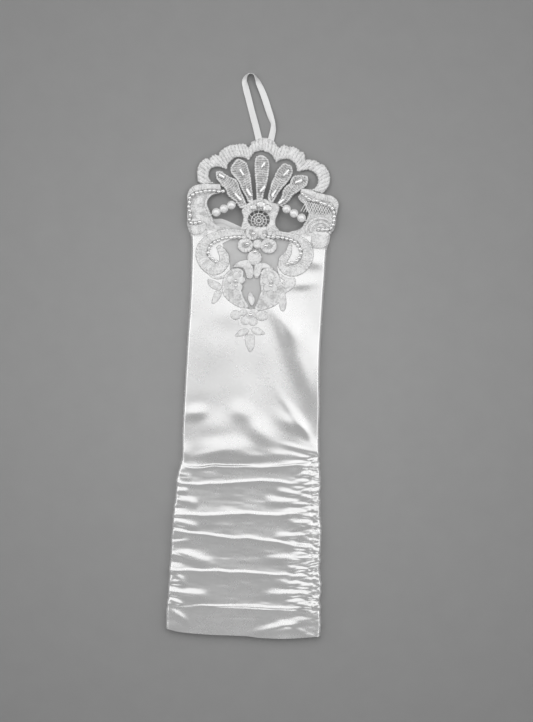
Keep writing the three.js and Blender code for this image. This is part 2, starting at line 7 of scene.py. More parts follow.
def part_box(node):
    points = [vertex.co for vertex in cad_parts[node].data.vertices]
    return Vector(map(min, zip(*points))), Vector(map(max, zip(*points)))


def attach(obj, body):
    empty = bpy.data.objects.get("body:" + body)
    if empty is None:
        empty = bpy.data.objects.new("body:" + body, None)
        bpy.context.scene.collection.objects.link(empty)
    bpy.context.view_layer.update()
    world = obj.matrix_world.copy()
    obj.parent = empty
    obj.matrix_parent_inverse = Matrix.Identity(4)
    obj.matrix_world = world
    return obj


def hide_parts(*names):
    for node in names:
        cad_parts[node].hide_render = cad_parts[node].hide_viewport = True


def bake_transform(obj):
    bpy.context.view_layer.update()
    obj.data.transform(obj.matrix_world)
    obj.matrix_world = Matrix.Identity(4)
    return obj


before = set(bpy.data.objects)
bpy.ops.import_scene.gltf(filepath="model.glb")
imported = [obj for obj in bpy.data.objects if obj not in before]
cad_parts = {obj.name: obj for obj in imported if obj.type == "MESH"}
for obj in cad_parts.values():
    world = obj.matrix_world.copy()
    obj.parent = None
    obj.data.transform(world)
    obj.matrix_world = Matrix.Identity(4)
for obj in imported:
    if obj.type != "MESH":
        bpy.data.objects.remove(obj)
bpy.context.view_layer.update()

FLOOR = 0.34
WORLD = 0.18
LIGHTS = [
    ("softbox_top", (0.0, 1.13, 1.60), (0.0, 1.1301, 0.0), 3.0, 2.4, 25.5),
    ("fill_left", (-1.7, 0.25, 1.1), (0, 0, 0), 1.6, 1.6, 10.5),
    ("fill_right", (1.7, 0.1, 1.1), (0, 0, 0), 1.6, 1.6, 9.5),
    ("fill_front", (0.0, -1.7, 0.8), (0, 0, 0), 1.6, 0.8, 5),
]
# outlines and paths, mm
D={}
D["leftedge"]=[(-50.3,87.2),(-48.6,82.1),(-47.5,77.0),(-46.6,71.8),(-46.2,66.6),(-46.1,61.4),(-46.0,56.2),(-45.8,51.0),(-45.8,45.8),(-45.7,40.6),(-45.7,35.4),(-45.7,30.2),(-45.7,25.0),(-45.8,19.8),(-45.8,14.6),(-45.9,9.4),(-45.9,4.2),(-46.0,-1.0),(-45.9,-6.2),(-46.0,-11.5),(-46.0,-16.7),(-46.0,-21.9),(-46.0,-27.1),(-46.0,-32.3),(-46.1,-37.5),(-46.1,-42.7),(-46.0,-47.9),(-46.0,-53.1),(-45.8,-58.3),(-45.6,-63.5),(-45.6,-68.7),(-46.1,-74.0),(-47.2,-79.2),(-48.3,-84.5),(-48.5,-89.7),(-48.6,-94.9),(-49.0,-100.1),(-49.1,-105.3),(-49.1,-110.6),(-49.3,-115.8),(-49.4,-121.0),(-49.3,-126.2),(-49.3,-131.4),(-49.5,-136.6),(-49.9,-141.8),(-49.6,-147.0),(-49.7,-152.2),(-49.9,-157.5),(-50.4,-162.7),(-50.2,-167.9),(-50.1,-173.1),(-50.0,-178.3),(-49.8,-180.9)]
D["rightedge"]=[(46.6,87.1),(44.0,81.8),(43.1,76.5),(42.1,71.3),(42.0,66.0),(41.9,60.8),(41.9,55.6),(41.8,50.4),(41.7,45.2),(41.6,40.0),(41.5,34.8),(41.5,29.6),(41.4,24.4),(41.4,19.1),(41.3,13.9),(41.3,8.7),(41.3,3.5),(41.4,-1.7),(41.5,-6.9),(41.7,-12.1),(42.0,-17.3),(42.3,-22.4),(42.7,-27.6),(42.9,-32.8),(43.1,-38.0),(43.0,-43.2),(43.2,-48.5),(43.6,-53.6),(44.0,-58.8),(44.3,-64.0),(44.6,-69.2),(45.1,-74.4),(45.7,-79.6),(46.0,-84.8),(46.1,-90.0),(46.4,-95.1),(47.0,-100.3),(47.5,-105.5),(48.0,-110.7),(48.1,-115.9),(48.5,-121.1),(48.4,-126.3),(48.4,-131.5),(48.7,-136.7),(49.4,-141.8),(50.1,-147.0),(50.0,-152.2),(49.7,-157.4),(50.2,-162.6),(50.6,-167.8),(50.9,-173.0),(50.8,-179.5)]
D["hem"]=[(-49.8,-180.9),(-46.4,-181.7),(-43.1,-182.4),(-38.8,-182.9),(-32.6,-183.2),(-19.3,-183.5),(-7.9,-183.2),(3.0,-183.1),(10.6,-183.8),(18.2,-183.8),(25.5,-183.7),(33.1,-183.1),(40.4,-182.2),(46.0,-181.5),(50.8,-180.8)]
D["palm_top"]=[(-49.5,89.9),(-41.7,88.3),(-32.1,86.6),(-28.0,86.9),(-22.4,85.1),(-15.4,82.4),(-8.7,80.3),(-0.8,78.5),(8.4,77.3),(17.5,77.1),(27.2,78.0),(35.6,80.0),(43.3,82.4)]
D["b_outer"]=[(-40.6,108.8),(-43.6,110.0),(-44.6,113.1),(-44.8,116.4),(-44.4,119.6),(-43.4,122.0),(-41.1,124.4),(-39.2,125.5),(-37.3,124.6),(-36.9,126.1),(-35.2,127.5),(-33.6,128.2),(-31.7,127.6),(-31.3,129.5),(-29.7,131.6),(-27.7,133.1),(-25.0,134.5),(-22.3,135.1),(-19.9,135.6),(-17.6,136.2),(-15.1,136.0),(-13.4,134.7),(-12.5,134.1),(-11.3,135.3),(-10.8,137.4),(-8.4,138.9),(-6.6,140.0),(-2.8,140.8),(1.2,140.4),(4.1,138.5),(4.9,137.2),(6.3,135.6),(7.7,134.8),(8.3,135.4),(10.3,136.8),(11.7,136.4),(14.2,135.8),(17.6,135.8),(20.0,134.4),(20.8,132.9),(23.2,133.0),(24.3,130.7),(24.9,127.6),(26.9,128.1),(30.0,127.9),(32.0,127.7),(34.5,125.7),(37.0,125.2),(39.1,122.6),(40.7,119.5),(41.4,116.2),(41.1,113.1),(39.8,110.3),(38.5,108.5),(37.2,106.7)]
D["b_inner"]=[(-33.3,109.7),(-35.4,110.1),(-36.8,111.7),(-37.6,113.8),(-37.6,116.2),(-37.0,118.2),(-35.5,119.7),(-33.2,120.5),(-30.5,120.6),(-28.0,119.9),(-25.9,119.3),(-26.0,120.9),(-25.2,122.9),(-23.8,125.1),(-22.2,126.5),(-19.8,127.5),(-17.1,127.7),(-14.7,127.3),(-12.6,126.2),(-11.9,125.9),(-11.1,127.8),(-9.4,130.3),(-7.0,131.9),(-4.7,132.6),(-2.8,132.9),(-1.1,132.1),(0.7,131.6),(3.1,129.9),(4.6,127.9),(5.8,125.8),(6.8,126.0),(8.1,127.1),(10.5,127.9),(12.8,128.2),(15.3,127.5),(17.4,126.2),(19.1,124.3),(19.6,121.9),(20.5,120.2),(22.8,121.0),(25.2,121.5),(27.9,121.6),(30.4,120.7),(32.5,118.8),(33.9,116.8),(34.1,114.4),(33.6,112.0),(32.3,109.9),(30.6,108.6),(28.7,108.6)]
D["p1"]=[(-32.7,115.5),(-32.3,117.1),(-29.6,117.6),(-27.1,116.0),(-23.9,114.2),(-19.8,112.6),(-17.7,109.5),(-16.3,105.6),(-14.0,101.2),(-11.7,96.2),(-13.7,94.5),(-16.1,94.3),(-18.6,98.0),(-21.4,99.8),(-24.4,102.5),(-26.3,106.5),(-28.4,108.0),(-30.2,110.4),(-32.0,112.6)]
D["p2"]=[(-20.4,125.1),(-18.9,126.0),(-17.0,125.8),(-13.4,123.9),(-11.5,119.5),(-10.2,114.9),(-9.3,109.8),(-8.7,105.7),(-7.8,99.6),(-9.3,98.2),(-11.0,98.8),(-12.7,102.2),(-15.7,107.0),(-17.6,111.0),(-20.2,114.0),(-22.3,116.2),(-23.4,118.9),(-22.6,121.7)]
D["p3"]=[(-4.1,129.4),(-1.1,128.4),(1.2,125.7),(1.6,120.6),(1.2,115.5),(0.4,110.3),(-1.0,105.1),(-1.5,100.9),(-3.5,100.0),(-5.4,100.7),(-6.1,108.4),(-7.1,114.9),(-7.8,121.4),(-7.7,126.9),(-6.0,128.8)]
D["p4"]=[(11.1,124.8),(13.4,124.3),(15.9,123.4),(16.8,121.0),(16.8,118.3),(15.3,114.8),(13.3,111.9),(10.8,108.7),(8.9,106.2),(7.0,102.8),(5.5,99.2),(3.4,98.4),(1.9,101.8),(2.8,107.0),(3.5,111.1),(5.3,115.7),(6.5,119.1),(8.7,122.7)]
D["p5"]=[(17.2,116.3),(20.6,117.5),(24.4,117.8),(26.9,116.8),(27.3,114.0),(26.4,111.2),(24.5,109.5),(20.5,106.2),(17.8,104.3),(16.0,101.1),(14.0,99.0),(10.9,97.0),(8.3,98.0),(10.1,101.5),(11.0,104.3),(11.2,106.4),(13.1,109.9),(15.4,111.7)]
D["bug"]=[(-30.2,115.0),(-27.4,113.6),(-19.3,103.1),(-15.6,99.2),(-17.0,118.9),(-14.6,115.5),(-12.0,106.5),(-8.9,102.2),(-3.4,121.2),(-1.5,124.2),(-3.4,105.3),(-0.7,108.9),(11.2,116.6),(14.3,120.2),(4.4,102.6),(6.5,106.5),(19.3,112.6),(22.9,114.2),(9.1,98.2),(11.9,100.9)]
D["crystals"]=[(-7.2,94.8),(-2.4,96.7),(1.9,94.6)]
D["hub"]=[(-3.3,86.5)]
D["pearls"]=[(-31.0,90.3),(-26.4,93.1),(-21.6,95.4),(14.2,94.7),(19.4,92.3),(24.2,89.4)]
D["beads_cl"]=[(-27.5,104.2),(-29.9,104.1),(-33.0,104.5),(-36.1,104.4),(-39.7,103.9),(-42.6,103.0),(-45.8,102.2),(-47.9,100.2),(-49.1,98.4),(-49.0,96.0),(-49.2,92.8),(-48.4,89.6),(-47.8,86.5),(-48.4,84.0),(-47.1,82.5),(-44.5,82.7),(-41.5,83.5)]
D["beads_cr"]=[(24.2,105.2),(26.8,103.3),(29.6,101.5),(32.9,101.7),(35.9,100.5),(38.7,99.6),(41.6,98.9),(43.9,97.1),(45.5,94.0),(45.6,91.2),(45.5,87.5),(44.6,85.0),(42.6,83.2),(39.2,83.0),(35.8,83.0)]
D["beads_sl"]=[(-12.6,75.1),(-14.9,75.2),(-18.4,75.1),(-21.5,74.4),(-24.4,74.1),(-27.8,72.5),(-30.7,71.1),(-33.4,69.0),(-34.6,66.0),(-34.6,62.6),(-32.2,60.4),(-29.4,58.4)]
D["beads_sr"]=[(1.0,77.2),(5.0,76.1),(9.9,76.5),(13.1,76.1),(16.4,75.5),(19.5,74.4),(22.3,73.0),(24.0,70.0),(25.2,67.4),(24.2,64.1),(22.2,61.4),(19.5,60.4),(16.9,59.4)]
D["flower_beads"]=[(-6.3,77.8),(-9.9,71.0),(-4.6,66.2),(2.4,70.3)]
D["leaf_l"]=[(-18.1,56.1),(-15.7,58.7),(-12.2,60.2),(-8.6,60.5),(-7.1,58.5),(-5.5,55.7),(-4.9,51.4),(-6.2,48.8),(-8.8,49.1),(-9.5,50.5),(-10.4,52.9),(-11.5,55.0),(-13.8,55.6),(-17.4,55.5)]
D["leaf_r"]=[(-3.5,58.7),(-0.4,59.3),(3.2,59.0),(5.8,57.3),(7.7,55.7),(6.3,55.1),(2.7,55.7),(0.2,55.3),(-0.7,51.6),(-2.8,49.0),(-4.5,51.4),(-4.4,56.8)]
D["centre_leaf"]=[(-6.4,39.8),(-4.2,37.6),(-3.2,34.4),(-4.9,31.1),(-7.2,34.2),(-7.8,37.4)]
D["low_l_drop"]=[(-29.8,40.0),(-30.1,35.7),(-30.8,31.7),(-28.4,31.8),(-26.3,34.8),(-25.4,38.4)]
D["low_r_drop"]=[(13.1,37.9),(13.6,29.4),(16.6,29.5),(16.8,34.5),(15.1,39.5)]
D["pend"]=[(-5.3,25.4)]
D["ll_leaf_l"]=[(-14.5,11.0),(-12.0,14.7),(-9.3,16.0),(-6.2,15.0),(-7.2,12.8),(-10.4,11.2)]
D["ll_leaf_r"]=[(-4.1,16.5),(-1.1,17.4),(1.7,16.0),(4.3,13.9),(3.2,12.8),(-0.6,12.6),(-2.8,13.3),(-4.3,15.1)]
D["tail"]=[(-7.8,11.9),(-7.7,6.7),(-6.2,3.5),(-4.7,1.1),(-3.1,2.6),(-2.0,5.4),(-2.1,9.8),(-2.8,12.2)]
D["ridgeA"]=[(-44.5,-74.4),(-40.7,-75.7),(-30.2,-75.7),(-22.1,-74.0),(-10.1,-73.7),(4.8,-73.3),(19.6,-71.4),(34.5,-69.9),(44.1,-66.8)]
D["ridgeB"]=[(-48.1,-84.7),(-44.6,-86.4),(-33.4,-86.7),(-17.0,-84.5),(1.5,-82.3),(16.5,-82.1),(31.4,-82.8)]
D["ridgeC"]=[(-45.8,-106.5),(-31.4,-106.4),(-16.0,-104.9),(-8.5,-104.5),(13.8,-103.9),(27.0,-103.6),(42.0,-103.8)]
D["ridgeD"]=[(-49.0,-116.7),(-37.7,-118.7),(-15.2,-119.7),(3.5,-120.2),(22.3,-121.8),(37.3,-123.0)]
D["ridgeE"]=[(-49.1,-142.8),(-29.0,-142.9),(-6.6,-141.7),(15.8,-142.0),(30.8,-142.4)]
D["ridgeF"]=[(-49.5,-165.2),(-42.6,-166.6),(-20.3,-165.4),(2.0,-163.9),(20.8,-163.8),(35.6,-163.4),(49.5,-160.7)]
D["side_l_field"]=[(-22.2,51.6),(-19.4,54.0),(-15.5,54.9),(-12.2,53.8),(-11.5,50.2),(-13.0,46.2),(-12.9,42.3),(-11.3,37.9),(-9.1,33.8),(-7.0,30.3),(-9.9,29.4),(-13.9,30.1),(-17.9,32.2),(-21.3,34.8),(-23.9,37.9),(-24.8,41.7),(-24.5,46.3),(-23.5,49.6)]
D["side_r_field"]=[(0.5,54.1),(3.0,55.5),(6.9,55.4),(9.9,53.6),(11.9,50.8),(12.9,47.6),(15.6,45.8),(19.1,46.3),(22.3,48.4),(21.9,45.3),(19.0,42.1),(16.2,40.0),(13.9,35.9),(10.7,32.5),(5.7,29.8),(-0.4,28.4),(-3.1,29.8),(-1.7,33.2),(0.0,38.5),(0.5,42.4),(-0.3,46.3),(-0.2,50.8)]
D["low_l_leaf"]=[(-34.0,46.8),(-31.0,46.1),(-27.3,44.8),(-25.2,42.4),(-26.4,40.3),(-29.7,40.6),(-32.4,42.0),(-34.0,44.2)]
D["drop_l"]=[(-27.1,40.0),(-29.1,38.9),(-30.2,35.6),(-30.9,31.5),(-28.8,31.8),(-26.3,34.6),(-25.0,38.1)]
D["drop_r"]=[(13.9,40.5),(12.8,37.2),(12.9,32.6),(14.2,29.1),(16.4,29.2),(17.2,33.5),(16.7,38.0),(15.5,40.5)]
D["low_r_leaf"]=[(14.2,46.4),(16.4,49.4),(19.6,50.4),(22.5,49.5),(20.4,47.0),(17.2,45.5)]
D["window"]=[(-26.0,70.6),(-24.5,65.2),(-21.2,58.8),(-20.3,53.7),(-21.7,49.0),(-20.4,42.6),(-16.8,36.3),(-10.7,31.1),(-5.7,28.7),(-0.3,31.3),(5.4,35.2),(10.9,41.6),(12.5,48.9),(10.4,56.6),(12.3,63.9),(15.7,68.6),(17.8,73.4),(10.4,75.8),(-0.6,75.7),(-11.0,74.9),(-20.1,73.7)]
D["tab_l"]=[(-30.7,108.3),(-40.7,107.8),(-44.8,107.4),(-47.5,106.4),(-49.5,104.6),(-50.4,102.2),(-50.4,97.3),(-49.9,92.2),(-49.4,85.3),(-48.6,82.8),(-47.4,77.6)]
D["tab_r"]=[(25.0,107.6),(28.0,107.2),(30.8,106.1),(34.9,104.9),(38.4,105.1),(42.2,104.6),(44.8,103.7),(46.3,102.1),(47.3,100.2),(46.5,98.2),(46.3,93.8),(46.3,87.1),(45.2,85.1),(43.4,82.4)]
D["hole_l"]=[(-36.2,99.8),(-32.8,101.4),(-28.8,102.3),(-25.0,102.6),(-22.5,100.2),(-20.4,98.3),(-17.4,94.2),(-14.9,92.0),(-14.1,89.0),(-14.1,85.9),(-14.5,82.5),(-18.2,81.4),(-24.4,81.6),(-29.6,82.0),(-32.5,84.3),(-34.3,89.4),(-35.8,92.6),(-37.2,94.6),(-37.4,97.0)]
D["hole_r"]=[(17.3,102.1),(19.4,101.5),(22.9,100.0),(25.4,98.4),(26.2,95.2),(28.1,93.4),(27.6,91.7),(26.3,87.3),(24.7,84.5),(22.1,82.7),(18.4,81.4),(15.7,80.5),(13.0,80.6),(10.2,81.6),(8.0,84.2),(7.5,87.0),(8.3,90.1),(9.1,94.3),(12.6,97.0),(15.1,99.0),(16.0,100.8)]
D["scroll_l"]=[(-12.4,77.1,4.5),(-17.0,77.4,5.2),(-22.2,77.3,5.6),(-27.7,75.9,6.1),(-32.7,73.5,6.9),(-36.8,69.9,7.5),(-38.8,65.3,8.1),(-38.4,60.5,8.1),(-35.8,56.4,8.2),(-31.8,53.9,8.1),(-27.4,54.5,6.9),(-24.6,57.9,6.4),(-24.5,62.2,5.9),(-26.7,66.0,4.5),(-29.0,68.5,2.2)]
D["scroll_r"]=[(8.3,78.1,4.2),(13.2,77.6,4.8),(18.2,76.7,5.2),(23.1,75.1,6.0),(27.3,72.3,6.8),(29.4,68.0,7.4),(29.1,63.0,7.4),(26.4,58.5,7.5),(22.1,55.6,7.4),(17.3,55.5,6.9),(14.1,58.3,6.4),(14.1,62.4,5.5),(16.6,65.6,3.9),(17.5,69.3,3.0),(17.9,72.6,1.6)]
D["tuck_l"]=[(-34.4,51.0,1.3),(-31.1,48.4,1.3),(-27.2,47.9,1.3),(-23.3,49.4,1.3)]
D["tuck_r"]=[(11.9,52.0,1.6),(15.2,49.9,2.0),(19.0,49.0,2.0),(21.8,50.3,1.4)]

# ---------------------------------------------------------------- helpers (mm in, metres out)
rng = np.random.RandomState(7)
FOLD_Y, FOLD_Z, WRIST_Y = 79.75, 6.6, -10.0
SPLIT_Y = 14.0


def smooth(a, b, x):
    t = np.clip((np.asarray(x, float) - a) / (b - a), 0, 1)
    return t * t * (3 - 2 * t)


def vnoise(x, y, seed=0):
    """smooth value noise, -1..1"""
    x, y = np.asarray(x, float), np.asarray(y, float)
    xi, yi = np.floor(x).astype(np.int64), np.floor(y).astype(np.int64)
    fx, fy = x - xi, y - yi
    fx, fy = fx * fx * (3 - 2 * fx), fy * fy * (3 - 2 * fy)

    def h(i, j):
        n = (i * 374761393 + j * 668265263 + seed * 2147483647) & 0xFFFFFFFF
        n = ((n ^ (n >> 13)) * 1274126177) & 0xFFFFFFFF
        n = (n ^ (n >> 16)) & 0xFFFFFFFF
        return n / 2147483647.5 - 1
    a, b, c, d = h(xi, yi), h(xi + 1, yi), h(xi, yi + 1), h(xi + 1, yi + 1)
    return (a * (1 - fx) + b * fx) * (1 - fy) + (c * (1 - fx) + d * fx) * fy


def fbm(x, y, seed=0, octaves=3):
    s, a, t = 0, 1.0, 0
    for k in range(octaves):
        s = s + a * vnoise(x * 2 ** k, y * 2 ** k, seed + k * 17)
        t += a
        a *= 0.5
    return s / t


LE = np.array(sorted([(p[1], p[0]) for p in D["leftedge"]]))
RE = np.array(sorted([(p[1], p[0]) for p in D["rightedge"]]))


def pucker(y, pitch, seed):
    """small in and out of a gathered side fold"""
    y = np.asarray(y, float)
    w = smooth(-58, -68, y) * smooth(-178, -168, y)
    return w * (0.42 * vnoise(y / pitch, y * 0, seed) + 0.2 * vnoise(y / (0.45 * pitch), y * 0, seed + 1))


def edge_l(y):
    return np.interp(y, LE[:, 0], LE[:, 1]) + pucker(y, 4.6, 73)


def edge_r(y):
    return np.interp(y, RE[:, 0], RE[:, 1]) + pucker(y, 3.0, 71)


def uof(x, y):
    l, r = edge_l(y), edge_r(y)
    return (x - (l + r) / 2) / ((r - l) / 2)


def arch(x, y, reach=1.9):
    """0 at the side folds, 1 from a few millimetres in"""
    d = np.minimum(x - edge_l(y), edge_r(y) - x)
    q = np.clip(d / reach, 0, 1)
    return np.sqrt(np.maximum(1 - (1 - q) ** 2, 0))


def bump(x, y, cx, cy, sx, sy, amp, ang=0.0):
    a = math.radians(ang)
    dx, dy = x - cx, y - cy
    p, q = dx * math.cos(a) + dy * math.sin(a), -dx * math.sin(a) + dy * math.cos(a)
    return amp * np.exp(-0.5 * ((p / sx) ** 2 + (q / sy) ** 2))


def path_y(pts, x):
    a = np.array(sorted([(p[0], p[1]) for p in pts]))
    return np.interp(x, a[:, 0], a[:, 1])


# crests of the gathers: path, height, width of the crest, width of the side that faces the hem, reach to the right, share that rises slowly
RIDGES = [("ridgeA", 1.05, 1.3, 7.0, 44, 0.03), ("ridgeB", 1.05, 1.4, 9.0, 30, 0.50), ("ridgeC", 1.3, 2.4, 9.0, 40, 0.55), ("ridgeD", 1.05, 1.5, 10.0, 36, 0.45), ("ridgeE", 1.1, 1.4, 10.0, 32, 0.50), ("ridgeF", 1.05, 1.3, 6.0, 48, 0.40)]
# broad soft dents and swells of the smooth part: x, y, sx, sy, height, turn
SWELLS = [(-36, -27, 9, 6, 0.14, 15), (-38, -40.2, 4.6, 2.7, 0.85, 12), (6.3, -51.8, 8, 4.6, 1.2, -45), (-8, -38.5, 5, 4, 0.6, -20), (-24, -49, 7, 6, 0.6, 0), (-45, -66.5, 4, 4, 0.6, 0), (-17, -62.6, 11, 4.6, 1.5, 3), (-3, -66.6, 10, 2.4, 0.25, -3), (-28, -66.6, 7, 2.0, 0.4, 12),
          (26.5, -44.4, 7, 3.2, 0.75, -25), (10, -69.5, 9, 5.0, 0.8, -8), (2, -50, 16, 22, 1.0, 0), (36, 1, 21, 5.0, 1.1, -66), (27.2, -3.0, 21, 4.6, 1.75, -66), (20, 18.5, 9, 4.4, 1.5, -62), (38, -20, 4, 12, 0.4, -6), (-20, 25.5, 9, 6.5, 0.5, 0),
          (12, 27, 10, 4, 0.4, -35), (33, 62, 5, 3, 0.7, -10), (26, 47, 6, 2.5, 0.6, 8), (-30, 4, 14, 10, 0.3, 20), (-5, -20, 22, 9, 0.08, -12),
          (5, 4, 6, 20, 0.4, 12), (-38, 30, 6, 20, 0.4, 4), (40, -60, 6, 3, 1.0, -25), (30, -43.5, 12, 1.8, 0.75, -53), (34, -60.5, 8, 1.2, 0.55, -12), (33, -70, 8, 1.2, 0.55, 6), (36, -66, 7, 1.3, 0.6, -10), (18, -64.5, 12, 1.8, 0.2, -14)]
# short folds that run into the side seams: x, y, half length, half width, height, turn
FOLDS = [(-41.6, -97.2, 7, 1.6, 1.0, -15), (-40.5, -112.6, 7.5, 1.7, 1.0, -11), (-37, -133.8, 14, 2.6, 1.35, -15), (-43.0, -150.6, 4.5, 1.5, 1.0, 4), (-43.4, -146.6, 3.5, 1.1, 0.7, -30), (-38, -158.2, 12, 2.2, 1.25, -4), (-42.4, -171, 6, 1.6, 0.7, -25),
         (-44, -81.5, 5, 1.5, 0.7, -10), (-44.5, -91.0, 4, 1.0, 0.6, 0), (-43, -124, 5, 1.1, 0.6, 6), (-44, -163, 4, 1.0, 0.7, -25),
         (27, -89.0, 8, 1.3, 0.9, -4), (24, -95.0, 11, 1.5, 1.0, 2), (36, -109, 8, 1.4, 1.0, -6), (31, -116.6, 11, 1.4, 1.0, 4), (30, -131.5, 14, 1.7, 1.1, 2), (37, -137, 8, 1.3, 0.9, 6),
         (33, -147.8, 12, 1.5, 1.0, -2), (28, -154.6, 13, 1.6, 1.0, 3), (37, -161, 9, 1.3, 0.9, -4), (40, -167, 8, 1.3, 0.9, 4), (24, -174.4, 15, 1.6, 0.7, 18), (34, -101, 9, 1.2, 0.8, 5), (36, -124, 8, 1.2, 0.8, -6), (40, -77, 6, 1.1, 0.8, -8), (38, -71, 7, 1.1, 0.7, 8)]


def ruche(x, y):
    """height of the gathers over the flat cloth"""
    z = np.zeros_like(x)
    for k, (name, amp, w1, w2, reach, rise) in enumerate(RIDGES):
        yk = path_y(D[name], x) + 0.5 * vnoise(x / 9.0, x * 0 + k, 40 + k)
        d = y - yk
        if k == 0:
            rise = 0.34 - 0.31 * np.exp(-((x + 17) / 18.0) ** 4) + 0.5 * np.exp(-((x - 7) / 8.0) ** 2)
        a = amp * (1 + 0.22 * vnoise(x / 13.0, x * 0 + 3 * k, 60 + k)) * (1 - 0.65 * smooth(reach - 16, reach + 2, x))
        dp = np.maximum(d, 0)
        up = a * ((1 - rise) * np.exp(-(dp / (0.55 * w1)) ** 1.2) * 0.45 + rise * np.exp(-dp / 8.0) + (1 - rise) * 0.55 * (1 - smooth(0.5 * w1, 0.5 * w1 + 0.7, d)))
        dm = np.maximum(-d, 0)
        dn = a * (0.30 * np.exp(-(dm / 0.9)) + 0.70 * np.exp(-(dm / w2) ** 1.2))
        z = z + np.where(d > 0, up, dn)
    for (cx, cy, sx, sy, amp, ang) in FOLDS:
        a = math.radians(ang)
        dx, dy = x - cx, y - cy
        p, q = dx * math.cos(a) + dy * math.sin(a), -dx * math.sin(a) + dy * math.cos(a)
        taper = np.clip(1 - (np.abs(p) / (1.35 * sx)) ** 2, 0, 1)
        run = smooth(-1.3 * sx, 1.3 * sx, p if cx > 0 else -p)
        wid = sy * (1.15 - 0.55 * run)
        z = z + amp * 0.8 * taper * (np.exp(-0.5 * (q / wid) ** 2) - 0.45 * run * np.exp(-0.5 * (q / (0.42 * wid)) ** 2))
    # pleats bunched along the right seam, criss-crossing
    xs = edge_r(y) - 6.2 + 0.4 * vnoise(y / 6.0, y * 0, 5)
    g = smooth(22, 38, x + 2.0 * vnoise(y / 4.0, y * 0, 5)) * smooth(-56, -66, y)
    w = y + 1.5 * fbm(x / 9.0, y / 7.0, 11, 2)
    pl = np.abs(np.sin(w * math.pi / 5.2 + 0.10 * (x - 30))) ** 0.9 + 0.7 * np.abs(np.sin(w * math.pi / 3.9 - 0.16 * (x - 30) + 1.1)) ** 0.9
    z = z + g * (0.42 * pl - 0.35)
    # small slanting pleats held in the seam itself
    k = smooth(-3.0, 0.6, x - xs) * smooth(-52, -60, y)
    fine = np.abs(np.sin(math.pi * (y - 0.42 * (x - xs) + 0.7 * vnoise(x / 3.0, y / 2.6, 25)) / (2.15 + 0.25 * vnoise(y / 11.0, y * 0, 26))))
    fine2 = np.abs(np.sin(math.pi * (y + 0.55 * (x - xs)) / 3.1 + 0.8))
    z = z + k * (0.30 * fine + 0.14 * fine2 - 0.35)
    z = z - 0.35 * smooth(-52, -64, y) * np.exp(-((x - xs - 0.4 * np.sin(y * 2.2)) / 0.7) ** 2)
    # left seam, looser
    gl = smooth(-38, -47, x) * smooth(-68, -76, y)
    z = z + gl * 0.45 * (np.abs(np.sin(y * math.pi / 7.3 + 0.8 * vnoise(y / 9.0, y * 0, 3))) - 0.4)
    z = z + 0.12 * fbm(x / 14.0, y / 3.2, 31, 2)
    return z


def detail(x, y):
    r = smooth(-66, -73, y - 0.10 * (x + 5))
    hem = smooth(-164.2, -165.6, y - 0.0 * x)
    z = r * (1 - 0.75 * hem) * ruche(x, y) + hem * (0.25 + 0.10 * fbm(x / 10, y / 10, 77, 2))
    for s in SWELLS:
        z = z + (1 - r * 0.85) * bump(x, y, *s)
    z = z + (1 - r) * 0.18 * fbm(x / 26.0, y / 34.0, 51, 2)
    z = z + hem * (bump(x, y, 27, -175.2, 11, 1.7, 0.9, 16) + bump(x, y, 36, -177.5, 8, 1.3, 0.5, -20) + bump(x, y, -41, -172.5, 4.5, 1.4, 0.5, -35))
    # stitch pricks of the blind hem
    for i in range(9):
        z = z - 0.12 * np.exp(-(((x - (-13 + 2.9 * i)) / 0.7) ** 2 + ((y + 171.6 - 0.05 * i) / 0.35) ** 2))
    return z


def front(x, y):
    """top of the back-of-hand cloth, mm"""
    x, y = np.asarray(x, float), np.asarray(y, float)
    a = arch(x, y)
    top = 4.6 + 0.3 * smooth(-60, -90, y)
    return 0.62 + (top - 0.62) * a + detail(x, y) * (0.2 + 0.8 * smooth(0.2, 0.95, a)) * smooth(0, 0.1, a)


def crownz(x, y):
    """underside of the single-layer crown, mm"""
    x, y = np.asarray(x, float), np.asarray(y, float)
    t = np.clip((y - FOLD_Y) / (141 - FOLD_Y), 0, 1.1)
    plane = 4.7 + (0.55 - 4.7) * t
    u = np.clip(np.abs(x + 3) / 48, 0, 1)
    flat = np.maximum(plane - 2.0 * u ** 3 * (1 - t), 0.45)
    m = np.exp(-np.maximum(y - FOLD_Y, 0) / 7.0)
    fr = 0.62 + 3.98 * arch(x, np.minimum(y, 84.0))
    return flat * (1 - m) + fr * m + 0.15 * vnoise(x / 12.0, y / 12.0, 91)


def surf(x, y):
    """the cloth or lace ground that trimmings lie on"""
    x, y = np.asarray(x, float), np.asarray(y, float)
    w = smooth(FOLD_Y - 1.5, FOLD_Y + 1.5, y)
    return front(x, np.minimum(y, FOLD_Y + 1.5)) * (1 - w) + (crownz(x, np.maximum(y, FOLD_Y - 1.5)) + 0.35) * w


# ---------------------------------------------------------------- meshes
def new_mesh(name, verts, faces, smooth_faces=True, sharp=None):
    me = bpy.data.meshes.new(name)
    me.from_pydata((np.asarray(verts, float) * 0.001).tolist(), [], [list(map(int, f)) for f in faces])
    me.update()
    if smooth_faces:
        me.polygons.foreach_set("use_smooth", np.ones(len(me.polygons), bool))
    ob = bpy.data.objects.new(name, me)
    bpy.context.scene.collection.objects.link(ob)
    return ob


def mark_sharp(ob, angle=50):
    bm = bmesh.new()
    bm.from_mesh(ob.data)
    lim = math.radians(angle)
    for e in bm.edges:
        if len(e.link_faces) == 2:
            try:
                e.smooth = e.calc_face_angle(0) < lim
            except ValueError:
                pass
    bm.to_mesh(ob.data)
    bm.free()
    return ob


